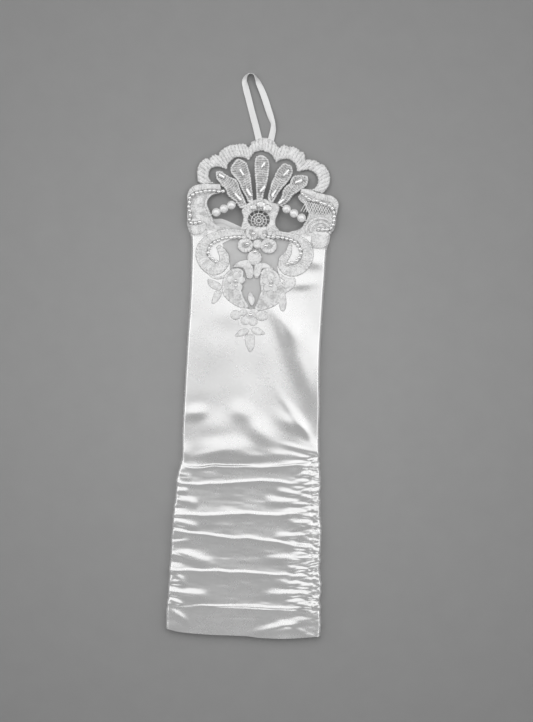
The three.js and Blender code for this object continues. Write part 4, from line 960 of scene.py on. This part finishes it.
strip("seam_allowance_left_arm", 1.6, 5.2, -160, -13, 0.75, 0.35, 0.05, "back", ["side_seam_left_forearm"], False)
strip("seam_allowance_right_arm", 1.6, 5.2, -160, -13, 0.75, 0.35, 0.12, "back", ["side_seam_right_forearm"], True)
strip("seam_allowance_left_hand", 1.6, 5.0, -6, 75, 0.75, 0.35, 0.05, "back", ["side_seam_left_hand"], False)
strip("seam_allowance_right_hand", 1.6, 5.0, -6, 75, 0.75, 0.35, 0.05, "back", ["side_seam_right_hand"], True)
strip("elastic_tape", 3.4, 6.0, -158, -58, 1.35, 0.45, 0.22, "elastic", ["gathering_elastic"], True)

# ---------------------------------------------------------------- lace on the back of the hand
p = Part()
p.band(D["scroll_l"], T=1.15, rim=1.25, floor=0.62, pitch=1.7, rib=0.15, fray=0.12)
place(p.make("lace_scroll_left"), ["lace", "lace2", "edge"], ["scroll_left"], "hand")
p = Part()
p.band(D["scroll_r"], T=1.15, rim=1.25, floor=0.62, pitch=1.7, rib=0.15, fray=0.12)
place(p.make("lace_scroll_right"), ["lace", "lace2", "edge"], ["scroll_right"], "hand")


def petal_round(P, c, rx, ry, ang=0, T=1.0, **k):
    a = np.linspace(0, 2 * math.pi, 14, endpoint=False)
    ca, sa = math.cos(math.radians(ang)), math.sin(math.radians(ang))
    pts = [(c[0] + rx * math.cos(t) * ca - ry * math.sin(t) * sa, c[1] + rx * math.cos(t) * sa + ry * math.sin(t) * ca) for t in a]
    k.setdefault("rim", 0.52 * min(rx, ry) + 0.3)
    k.setdefault("floor", 0.45 * T)
    return P.emb(pts, T=T, R=1.3, centre=(c[0], c[1], 2.6), pitch=1.3, rib=0.14, fray=0.15, **k)


p = Part()
FL = [(-7.4, 78.2, 3.9, 4.6, 20), (-11.2, 70.0, 5.0, 4.6, 0), (-4.8, 62.4, 4.6, 4.7, 0), (4.0, 70.4, 5.2, 4.9, 0), (1.2, 78.6, 4.4, 4.2, -20), (-3.2, 79.4, 2.8, 3.0, 0)]
for (a, b, rx, ry, an) in FL:
    petal_round(p, (a, b), rx, ry, an, 1.25, lift=0.25, **({"rim": None} if b < 65 or b > 79 else {}))
petal_round(p, (-3.4, 71.2), 3.0, 3.0, 0, 1.5, rim=None)
place(p.make("lace_centre_flower"), ["lace", "net", "edge"], ["centre_flower"], "hand")

p = Part()
p.emb(D["leaf_l"], T=1.0, R=1.3, spine=[(-18, 56), (-12.5, 58.2), (-8.6, 57.5), (-7.3, 53), (-7.2, 49)], slant=0.6)
p.emb(D["leaf_r"], T=1.0, R=1.3, spine=[(7.5, 55.6), (3, 57.3), (-1.2, 57.4), (-2.4, 53), (-3.2, 49)], slant=0.6)
place(p.make("lace_leaf_pair"), ["lace", "net", "edge"], ["leaf_pair"], "hand")

for nm, fld, c, sg in (("left", "side_l_field", (-16.0, 46.2), 1), ("right", "side_r_field", (6.6, 46.6), -1)):
    p = Part()
    p.emb(D[fld], T=0.85, rim=1.5, floor=0.40, pitch=1.6, rib=0.10, centre=(c[0], c[1], 7.0), step=0.42, fray=0.15)
    for k in range(5):
        a = math.radians(90 + 72 * k)
        petal_round(p, (c[0] + 3.4 * math.cos(a), c[1] + 3.8 * math.sin(a)), 2.2, 2.7, 72 * k, 0.6, lift=0.42, step=0.42, rim=None)
    place(p.make("lace_side_flower_" + nm), ["lace", "ground", "edge"], ["side_flower_" + nm], "hand")

p = Part()
p.emb(D["drop_l"], T=0.8, R=1.2, spine=[(-26.5, 39.5), (-30.5, 31.5)], slant=0.6)
p.emb(D["low_l_leaf"], T=0.8, R=1.3, spine=[(-33, 46), (-27, 41)], slant=0.6)
p.band(D["tuck_l"], T=0.6, R=0.7)
place(p.make("lace_lower_left"), ["lace", "net", "edge"], ["lower_lace_left"], "hand")
p = Part()
p.emb(D["drop_r"], T=0.8, R=1.2, spine=[(14.6, 39.8), (15.2, 29)], slant=0.6)
p.emb(D["low_r_leaf"], T=0.8, R=1.3, spine=[(14, 46), (22, 48)], slant=0.6)
p.band(D["tuck_r"], T=0.6, R=0.7)
place(p.make("lace_lower_right"), ["lace", "net", "edge"], ["lower_lace_right"], "hand")
p = Part()
p.emb(D["centre_leaf"], T=1.0, R=1.5, spine=[(-6.4, 39.6), (-5.2, 31.2)], slant=0.6, lift=-0.3)
place(p.make("lace_centre_leaf"), ["lace", "net", "edge"], ["centre_leaf"], "hand")
p = Part()
for (a, b, rx, ry, an) in [(-15.1, 24.6, 3.2, 3.0, 0), (-10.2, 26.4, 2.6, 2.0, 20), (1.9, 25.0, 3.9, 3.3, 0), (-3.0, 27.6, 2.4, 1.6, -10), (-8.6, 21.4, 2.9, 2.9, 30), (-3.8, 21.2, 3.0, 2.9, -30)]:
    petal_round(p, (a, b), rx, ry, an, 0.8, rim=None, skirt=0.2)
petal_round(p, (-5.4, 25.0), 2.3, 2.1, 0, 0.6, rim=None)
place(p.make("lace_pendant_flower"), ["lace", "net", "edge"], ["pendant_flower"], "hand")
p = Part()
p.emb(D["ll_leaf_l"], T=0.8, R=1.1, spine=[(-14.3, 11.2), (-6.5, 14.6)], slant=0.6)
p.emb(D["ll_leaf_r"], T=0.8, R=1.1, spine=[(4, 13.3), (-3.6, 15.8)], slant=0.6)
p.emb(D["tail"], T=0.8, R=1.5, spine=[(-5.2, 12), (-4.8, 1.4)], slant=0.6)
place(p.make("lace_lower_spray"), ["lace", "net", "edge"], ["lower_spray"], "hand")

# ---------------------------------------------------------------- beads
def string(name, pts, nodes, body, r=1.36, pitch=2.85, lift=0.55, seed=3, mat="seed"):
    c = resample(catmull(pts, False, 0.5)[:, :2], 0.5, False)
    L = np.concatenate([[0], np.cumsum(np.hypot(*np.diff(c, axis=0).T))])
    n = max(2, int(round(L[-1] / pitch)) + 1)
    t = np.linspace(0, L[-1], n)
    X, Y = np.interp(t, L, c[:, 0]), np.interp(t, L, c[:, 1])
    z = surf(c[:, 0], c[:, 1]) + lift + r * 0.74
    Z = np.interp(t, L, z)
    r_ = np.random.RandomState(seed)
    p = Part()
    p.tube(np.column_stack([c, z])[::2], 0.22, 6)
    for i in range(n):
        j = min(max(i, 1), n - 2) if n > 2 else 0
        ax = (X[min(i + 1, n - 1)] - X[max(i - 1, 0)], Y[min(i + 1, n - 1)] - Y[max(i - 1, 0)], 0)
        s = 1 + 0.06 * r_.randn()
        p.ball((X[i] + 0.08 * r_.randn(), Y[i] + 0.08 * r_.randn(), Z[i] + 0.06 * r_.randn()), r * min(max(s, 0.9), 1.08), 14, 10, (0.88, 0.88, 1.04), ax, bore=0.30)
    ob = p.make(name, 60)
    return place(ob, mat, nodes, body)


string("seed_string_scroll_left", D["beads_sl"], ["scroll_beads_left"], "hand", seed=3)
string("seed_string_scroll_right", D["beads_sr"], ["scroll_beads_right"], "hand", seed=4)
string("seed_string_corner_left", D["beads_cl"], ["corner_beads_left"], "crown", seed=5)
string("seed_string_corner_right", D["beads_cr"], ["corner_beads_right"], "crown", seed=6)


def beads(name, pts, nodes, body, r, lift=1.0, mat="seed", link=True):
    p = Part()
    zz = [float(surf(np.array([a]), np.array([b]))[0]) + lift + r * 0.85 for a, b in pts]
    if link and len(pts) > 1:
        p.tube([(a, b, z - 0.5 * r) for (a, b), z in zip(pts, zz)], 0.18, 6)
    for (a, b), z in zip(pts, zz):
        p.ball((a, b, z), r, 16, 11, (1, 1, 0.94), None, bore=0.2)
        p.tube([(a, b, z + 0.9 * r), (a + 0.25, b + 0.9 * r, z + 0.35 * r), (a + 0.3, b + 1.15 * r, z - 0.8 * r)], 0.16, 5)
    return place(p.make(name, 60), mat, nodes, body)


beads("seed_centre_flower", D["flower_beads"], ["centre_flower_beads"], "hand", 1.45, lift=1.3)
beads("seed_side_left", [(-16.1, 46.6), (-15.9, 43.6)], ["side_beads_left"], "hand", 1.2)
beads("seed_side_right", [(6.6, 47.6), (6.7, 44.6)], ["side_beads_right"], "hand", 1.2)
beads("seed_pendant", [(-5.3, 25.2)], ["pendant_bead"], "hand", 1.35)

# ---------------------------------------------------------------- crown
Z0 = lambda x, y: crownz(x, y)
p = Part()
border = D["b_outer"] + D["b_inner"][::-1]
bo = resample(catmull(D["b_outer"], False, 0.4)[:, :2], 0.4, False)
bi = resample(catmull(D["b_inner"], False, 0.4)[:, :2], 0.4, False)
p.emb(np.vstack([bo, bi[::-1]]), closed_smooth=False, T=1.35, R=2.4, pitch=2.0, rib=0.34, centre=(-3.0, 92.0, 40.0), z=Z0, step=0.38, fray=0.34, skirt=0.4, trough=-0.55)
place(p.make("lace_scallop_border"), ["lace", "net", "edge"], ["scallop_border"], "crown")

SP = [[(-31.5, 116.0), (-22, 107.5), (-13.5, 95.5)], [(-19.5, 125), (-15.5, 113), (-9.0, 99.5)], [(-3.0, 128.5), (-3.2, 114), (-3.4, 100.6)], [(14, 123.8), (10.5, 114), (4, 99.6)], [(26.5, 115.8), (17.5, 108), (10.5, 98.2)]]
for i in range(5):
    p = Part()
    sp = resample(catmull(SP[i], False, 0.6)[:, :2], 0.6, False)
    p.emb(D["p%d" % (i + 1)], T=1.1, rim=1.15, floor=0.5, spine=sp, pitch=1.5, rib=0.20, fray=0.22, slant=0.0 if i == 2 else 0.25, z=Z0, step=0.33, trough=-0.3, deep=-0.35)
    ob = p.make("lace_fan_petal_%d" % (i + 1))
    place(ob, ["lace", "net", "edge"], ["fan_petal_%d" % (i + 1)], "crown")

p = Part()
TABL = D["tab_l"]
TABR = D["tab_r"]
# left corner: cord along the top and the outside edge, a leaf field below, a fine cord round the window
p.band([(-29.5, 107.2, 3.4), (-35, 106.9, 3.8), (-41, 106.4, 4.2), (-46, 104.8, 4.4), (-48.6, 101.2, 3.6), (-48.9, 96, 2.8), (-48.6, 90, 2.8), (-48.1, 84.5, 3.2)], T=0.75, R=1.4, z=Z0, lift=0.35)
p.emb([(-49.6, 84.5), (-49.3, 80.6), (-48.0, 77.6), (-45.5, 75.6), (-41.6, 75.8), (-38.6, 77.6), (-37.2, 80.6), (-38.6, 83.6), (-42.6, 85.2), (-46.4, 85.6)], T=0.8, R=2.0, centre=(-43.5, 80.5, 3.5), lift=0.0)
p.band([(-30.4, 103.6, 1.2), (-34.4, 102.6, 1.2), (-37.4, 99.6, 1.3), (-38.2, 95.6, 1.3), (-36.6, 91.6, 1.3), (-34.6, 87.6, 1.4), (-33.2, 84.2, 1.5)], T=0.55, R=0.6, z=Z0, lift=0.35)
for (a, b, rx, ry, an) in [(-43.2, 97.2, 3.4, 1.9, 35), (-41.5, 91.6, 3.6, 1.9, 10), (-41.2, 86.6, 3.4, 1.7, -15)]:
    petal_round(p, (a, b), rx, ry, an, 0.6, z=Z0, lift=0.3, rim=None, skirt=0.15)
place(p.make("lace_corner_left"), ["lace", "net", "edge"], ["corner_lace_left"], "crown")
p = Part()
p.band([(23.0, 107.6, 2.6), (28.0, 106.9, 3.2), (33.0, 105.0, 3.8), (38.4, 103.8, 4.2), (43.0, 103.0, 4.2), (46.0, 100.4, 3.6), (46.0, 96.4, 2.8), (45.4, 91.6, 2.8), (45.0, 86.8, 3.0), (43.6, 82.6, 3.4)], T=0.75, R=1.4, z=Z0, lift=0.35)
for k, rr in enumerate((3.2, 6.0, 8.8)):
    a = np.radians(np.linspace(-20 + 6 * k, 200 - 6 * k, 12))
    arc = [(37.0 + rr * 1.05 * math.cos(t), 82.0 + rr * 0.95 * math.sin(t), 1.6) for t in a if 37.0 + rr * 1.05 * math.cos(t) < 44.6]
    p.band(arc, T=0.95, R=0.8, lift=0.0 if k == 0 else 0.1)
p.emb([(32.6, 80.8), (31.6, 76.5), (33.0, 71.6), (37.0, 70.6), (41.2, 72.4), (43.0, 75.6), (43.0, 80.0), (40.0, 81.6), (36, 81.6)], T=0.75, R=1.8, centre=(37.5, 76, 4.0))
p.band([(24.2, 102.4, 1.2), (26.6, 98.8, 1.2), (28.0, 95.6, 1.3), (29.6, 92.6, 1.3), (28.2, 88.6, 1.3), (26.4, 85.0, 1.3)], T=0.55, R=0.6, z=Z0, lift=0.35)
# lattice of fine threads
for t in np.arange(27.0, 43.5, 1.7):
    for (dx, ph) in ((3.4, 0), (-3.4, 1)):
        a0, b0, a1, b1 = t, 101.0 - (t - 27) * 0.20, t + dx, 94.0 - (t - 27) * 0.12
        xs = np.linspace(a0, a1, 6)
        ys = np.linspace(b0, b1, 6)
        p.tube(np.column_stack([xs, ys, crownz(xs, ys) + 0.75 + 0.1 * ph]), 0.26, 5)
place(p.make("lace_corner_right"), ["lace", "net", "edge"], ["corner_lace_right"], "crown")

# lace between the windows with its round hole and web
hc = (-3.3, 86.9)
p = Part()
base = [(-14.0, 80.9), (-13.4, 85.9), (-13.4, 89), (-14.6, 92.4), (-13.0, 95.0), (-11.0, 97.4), (-7.3, 99.6), (-3.5, 100.6), (0.6, 100.6), (3.6, 98.8), (8.0, 98.0), (9.6, 95.6), (8.9, 92.4), (7.9, 89.6), (7.2, 87), (7.8, 83.6), (9.8, 80.9), (4.5, 79.4), (-2.5, 79.2), (-9.5, 79.6)]
hole = [(hc[0] + 7.2 * math.cos(t), hc[1] + 0.3 + 6.1 * math.sin(t)) for t in np.linspace(0, 2 * math.pi, 20, endpoint=False)]
p.emb(base, T=0.9, R=1.4, centre=(hc[0], hc[1], 8.0), holes=[hole], z=Z0, rib=0.13, pitch=1.3)
zz = float(crownz(np.array([hc[0]]), np.array([hc[1]]))[0]) + 0.45
for rr in (4.9, 3.0, 1.3):
    t = np.linspace(0, 2 * math.pi, 37)
    p.tube(np.column_stack([hc[0] + rr * np.cos(t), hc[1] - 0.4 + rr * 0.95 * np.sin(t), np.full(37, zz)]), 0.24, 6)
for k in range(12):
    a = 2 * math.pi * k / 12
    b = a + 0.26
    p.tube([(hc[0] + 1.1 * math.cos(a), hc[1] - 0.4 + 1.1 * math.sin(a), zz), (hc[0] + 3.9 * math.cos(b), hc[1] - 0.2 + 3.6 * math.sin(b), zz + 0.1), (hc[0] + 7.5 * math.cos(a), hc[1] + 0.3 + 6.4 * math.sin(a), zz)], 0.19, 5)
place(p.make("lace_fan_base"), ["lace", "net", "edge"], ["fan_base"], "crown")


def facet_tube(p, a, b, r, n=8):
    a, b = np.array(a, float), np.array(b, float)
    d = b - a
    L = np.linalg.norm(d)
    d /= L
    a, L = a - d * 0.75, L + 1.5
    t = np.array([0, 0.35, 1.1, L / 2, L - 1.1, L - 0.35, L])
    rr = r * np.array([0.5, 0.82, 1.0, 1.04, 1.0, 0.82, 0.5])
    p.tube(a + d * t[:, None], rr, n)


BU = D["bug"]
for i in range(5):
    q4 = BU[4 * i:4 * i + 4]
    p = Part()
    z4 = [float(crownz(np.array([a]), np.array([b]))[0]) + 1.75 for a, b in q4]
    A, B, C, E = [(a, b, z) for (a, b), z in zip(q4, z4)]
    facet_tube(p, A, B, 1.15)
    facet_tube(p, C, E, 1.15)
    # thread from bead to bead through the lace
    near = min(((np.hypot(u[0] - w[0], u[1] - w[1]), u, w) for u in (A, B) for w in (C, E)), key=lambda s: s[0])
    u, w = np.array(near[1]), np.array(near[2])
    t = np.linspace(0, 1, 9)[:, None]
    line = u + (w - u) * t
    line[:, 2] -= 0.75 * np.sin(np.pi * t[:, 0]) ** 0.5
    p.tube(line, 0.14, 5)
    ob = p.make("bugle_pair_%d" % (i + 1), 25)
    place(ob, "crystal", ["bugle_beads_%d" % (i + 1)], "crown")

for i, ((a, b), r) in enumerate(zip(D["crystals"], (2.4, 3.0, 3.0))):
    p = Part()
    z = float(crownz(np.array([a]), np.array([b]))[0]) + 1.0
    prof = [(0.45, 0.0), (0.85, 0.4), (1.0, 0.9), (0.90, 1.25), (0.66, 1.5), (0.46, 1.62)]
    n = 8
    ring = []
    for k, (f, h) in enumerate(prof):
        an = 2 * math.pi * (np.arange(n) + 0.5 * (k % 2)) / n
        ring.append(np.column_stack([a + r * f * np.cos(an), b + r * f * np.sin(an), np.full(n, z + h * r / 2.2)]))
    v = np.vstack(ring)
    faces = []
    for k in range(len(prof) - 1):
        for j in range(n):
            j2 = (j + 1) % n
            if k % 2 == 0:
                faces += [(k * n + j, k * n + j2, (k + 1) * n + j), (k * n + j2, (k + 1) * n + j2, (k + 1) * n + j)]
            else:
                faces += [(k * n + j, k * n + j2, (k + 1) * n + j2), (k * n + j, (k + 1) * n + j2, (k + 1) * n + j)]
    faces.append(tuple(range(n))[::-1])
    faces.append(tuple((len(prof) - 1) * n + j for j in range(n)))
    p.put(v, faces)
    ob = p.make("crystal_cut_%d" % (i + 1), shade=False)
    place(ob, "gem", ["crystal_%d" % (i + 1)], "crown")

# large pearls on their threads
for side in ("left", "right"):
    boxes = [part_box("pearl_%s_%d" % (side, k)) for k in (1, 2, 3)]
    cs = [np.array([(b[0][j] + b[1][j]) * 500 for j in range(3)]) for b in boxes]
    d = cs[2] - cs[0]
    d /= np.linalg.norm(d)
    p = Part()
    a, b = cs[0] - d * 4.6, cs[2] + d * 4.2
    t = np.linspace(0, 1, 15)[:, None]
    p.tube(a + (b - a) * t, 0.36, 8)
    place(p.make("pearl_thread_" + side + "_look"), "thread", ["pearl_thread_" + side], "crown")
    for k in range(3):
        p = Part()
        p.ball(cs[k], 2.85, 36, 24, (1, 1, 0.985), d, bore=0.17)
        ob = p.make("pearl_%s_%d_look" % (side, k + 1), 60)
        place(ob, "pearl", ["pearl_%s_%d" % (side, k + 1)], "pearl_%s_%d" % (side, k + 1))

# ---------------------------------------------------------------- finger loop: one ribbon, turned over at the top and near its right end
ctr = [(-5.4, 136.5, 1.0, 4.3, 0), (-6.1, 139.8, 0.75, 4.3, 0), (-7.6, 145.2, 0.7, 4.2, 0), (-9.6, 151.5, 0.7, 4.2, 0), (-12.0, 159.0, 0.8, 4.0, 6), (-14.3, 166.5, 0.9, 4.1, 8), (-16.4, 173.2, 1.1, 4.0, 15), (-17.4, 177.6, 1.5, 3.7, 35),
       (-16.3, 180.6, 1.9, 3.5, 62), (-14.2, 182.2, 2.1, 3.4, 78), (-11.7, 181.7, 2.1, 3.3, 80), (-9.9, 179.4, 1.9, 3.4, 60), (-8.3, 176.4, 1.4, 3.8, 28), (-5.6, 171.2, 1.0, 4.1, 12), (-2.9, 164.9, 0.9, 4.2, 6), (-0.6, 158.8, 0.9, 4.1, 0),
       (1.2, 154.2, 1.0, 3.9, -14), (2.6, 150.6, 1.2, 3.4, -30), (2.9, 146.6, 1.0, 3.7, -12), (2.3, 142.4, 0.8, 4.0, 0), (1.7, 139.2, 0.8, 4.1, 0), (1.3, 136.4, 1.0, 4.1, 0)]
C = np.array(ctr, float)
s = np.concatenate([[0], np.cumsum(np.linalg.norm(np.diff(C[:, :3], axis=0), axis=1))])
tt = np.linspace(0, s[-1], 190)


def cub(k):
    m = np.gradient(C[:, k], s)
    i = np.clip(np.searchsorted(s, tt) - 1, 0, len(s) - 2)
    h = s[i + 1] - s[i]
    t = (tt - s[i]) / h
    return (2 * t ** 3 - 3 * t ** 2 + 1) * C[i, k] + (t ** 3 - 2 * t ** 2 + t) * h * m[i] + (-2 * t ** 3 + 3 * t ** 2) * C[i + 1, k] + (t ** 3 - t ** 2) * h * m[i + 1]


P3 = np.column_stack([cub(0), cub(1), cub(2)])
wd, tw = cub(3), np.radians(cub(4))
T3 = np.gradient(P3, axis=0)
T3 /= np.linalg.norm(T3, axis=1)[:, None]
S3 = np.cross(T3, [0, 0, 1.0])
S3 /= np.linalg.norm(S3, axis=1)[:, None]
U3 = np.cross(S3, T3)
Wd = S3 * np.cos(tw)[:, None] + U3 * np.sin(tw)[:, None]
Nn = np.cross(Wd, T3)
us = np.linspace(-0.5, 0.5, 9)
TH = 0.22
rows = []
for kk, sgn in ((0, 1), (1, -1)):
    o = us if sgn > 0 else us[::-1]
    edge = 1 - (2 * np.abs(o)) ** 6 * 0.6
    selv = 0.10 * np.exp(-((np.abs(o) - 0.44) / 0.05) ** 2)
    rows.append(P3[:, None] + Wd[:, None] * (wd[:, None] * o[None])[..., None] + Nn[:, None] * (sgn * (TH * edge + selv) + 0.02 * np.sin(tt * 5.0)[:, None])[..., None])
R = np.concatenate(rows, 1)
n, m = R.shape[:2]
faces = []
for i in range(n - 1):
    for j in range(m):
        k = (j + 1) % m
        faces.append((i * m + j, i * m + k, (i + 1) * m + k, (i + 1) * m + j))
faces.append(tuple(range(m))[::-1])
faces.append(tuple((n - 1) * m + j for j in range(m)))
R[..., 2] = np.maximum(R[..., 2], 0.08)
p = Part()
p.put(R.reshape(-1, 3), faces)
loop = p.make("ribbon_finger_loop", 60)
loop.data.materials.append(MAT["ribbon"])
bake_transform(loop)
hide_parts("finger_loop")

# ---------------------------------------------------------------- stage, light, camera
sc = bpy.context.scene
bm = bmesh.new()
bmesh.ops.create_grid(bm, x_segments=2, y_segments=2, size=3.0)
me = bpy.data.meshes.new("backdrop")
bm.to_mesh(me)
bm.free()
floor = bpy.data.objects.new("backdrop", me)
sc.collection.objects.link(floor)
m, nt, b = nodes_of("backdrop_paper")
v = tex_coord(nt)
vm = nt.nodes.new("ShaderNodeVectorMath")
vm.operation = "LENGTH"
nt.links.new(v, vm.inputs[0])
# painted light pool: floor colour brighter near the centre and darker further out, standing in for light falloff
painted_light_pool = ramp(nt, add2(nt, vm.outputs["Value"], None, "MULTIPLY", 2.0), [(0.16, 1.06), (0.62, 0.80)])
grain = ramp(nt, noise(nt, v, 60, 4, 0.6), [(0.3, FLOOR - 0.006), (0.7, FLOOR + 0.006)])
mx = nt.nodes.new("ShaderNodeMix")
mx.data_type = "RGBA"
mx.blend_type = "MULTIPLY"
mx.inputs[0].default_value = 1.0
nt.links.new(grain, mx.inputs[6])
nt.links.new(painted_light_pool, mx.inputs[7])
nt.links.new(mx.outputs[2], b.inputs["Base Color"])
n1 = bump_node(nt, noise(nt, v, 900, 3, 0.6), 0.15, 0.0003)
nt.links.new(n1, b.inputs["Normal"])
b.inputs["Roughness"].default_value = 0.9
b.inputs["Specular IOR Level"].default_value = 0.15
floor.data.materials.append(m)


def area(name, loc, target, sx, sy, power):
    l = bpy.data.lights.new(name, "AREA")
    l.shape = "RECTANGLE"
    l.size, l.size_y, l.energy = sx, sy, power
    o = bpy.data.objects.new(name, l)
    sc.collection.objects.link(o)
    o.location = loc
    o.rotation_mode = "QUATERNION"
    o.rotation_quaternion = (Vector(target) - Vector(loc)).to_track_quat("-Z", "Y")
    return o


for (nm, loc, tg, sx, sy, pw) in LIGHTS:
    area(nm, loc, tg, sx, sy, pw)
w = bpy.data.worlds.new("studio")
w.use_nodes = True
w.node_tree.nodes["Background"].inputs[0].default_value = (1, 1, 1, 1)
w.node_tree.nodes["Background"].inputs[1].default_value = WORLD
sc.world = w
sc.view_settings.view_transform = "Standard"
sc.view_settings.look = "None"

cam = bpy.data.cameras.new("cam")
cam.lens = 85
cam.sensor_width = 36
co = bpy.data.objects.new("cam", cam)
sc.collection.objects.link(co)
th = math.radians(3.0)
dist = 0.23465 * 85 / 18
co.location = (0.00647, -0.00416, dist + 0.003)
co.rotation_mode = "QUATERNION"
upv = Vector((-math.sin(th), math.cos(th), 0))
rot = Matrix((upv.cross(Vector((0, 0, 1))), upv, Vector((0, 0, 1)))).transposed()
co.rotation_quaternion = rot.to_quaternion()
cam.clip_start, cam.clip_end = 0.05, 20
sc.camera = co

for ob in MADE + [satin_low, satin_up, palm_lo, palm_up]:
    ob.data.validate()
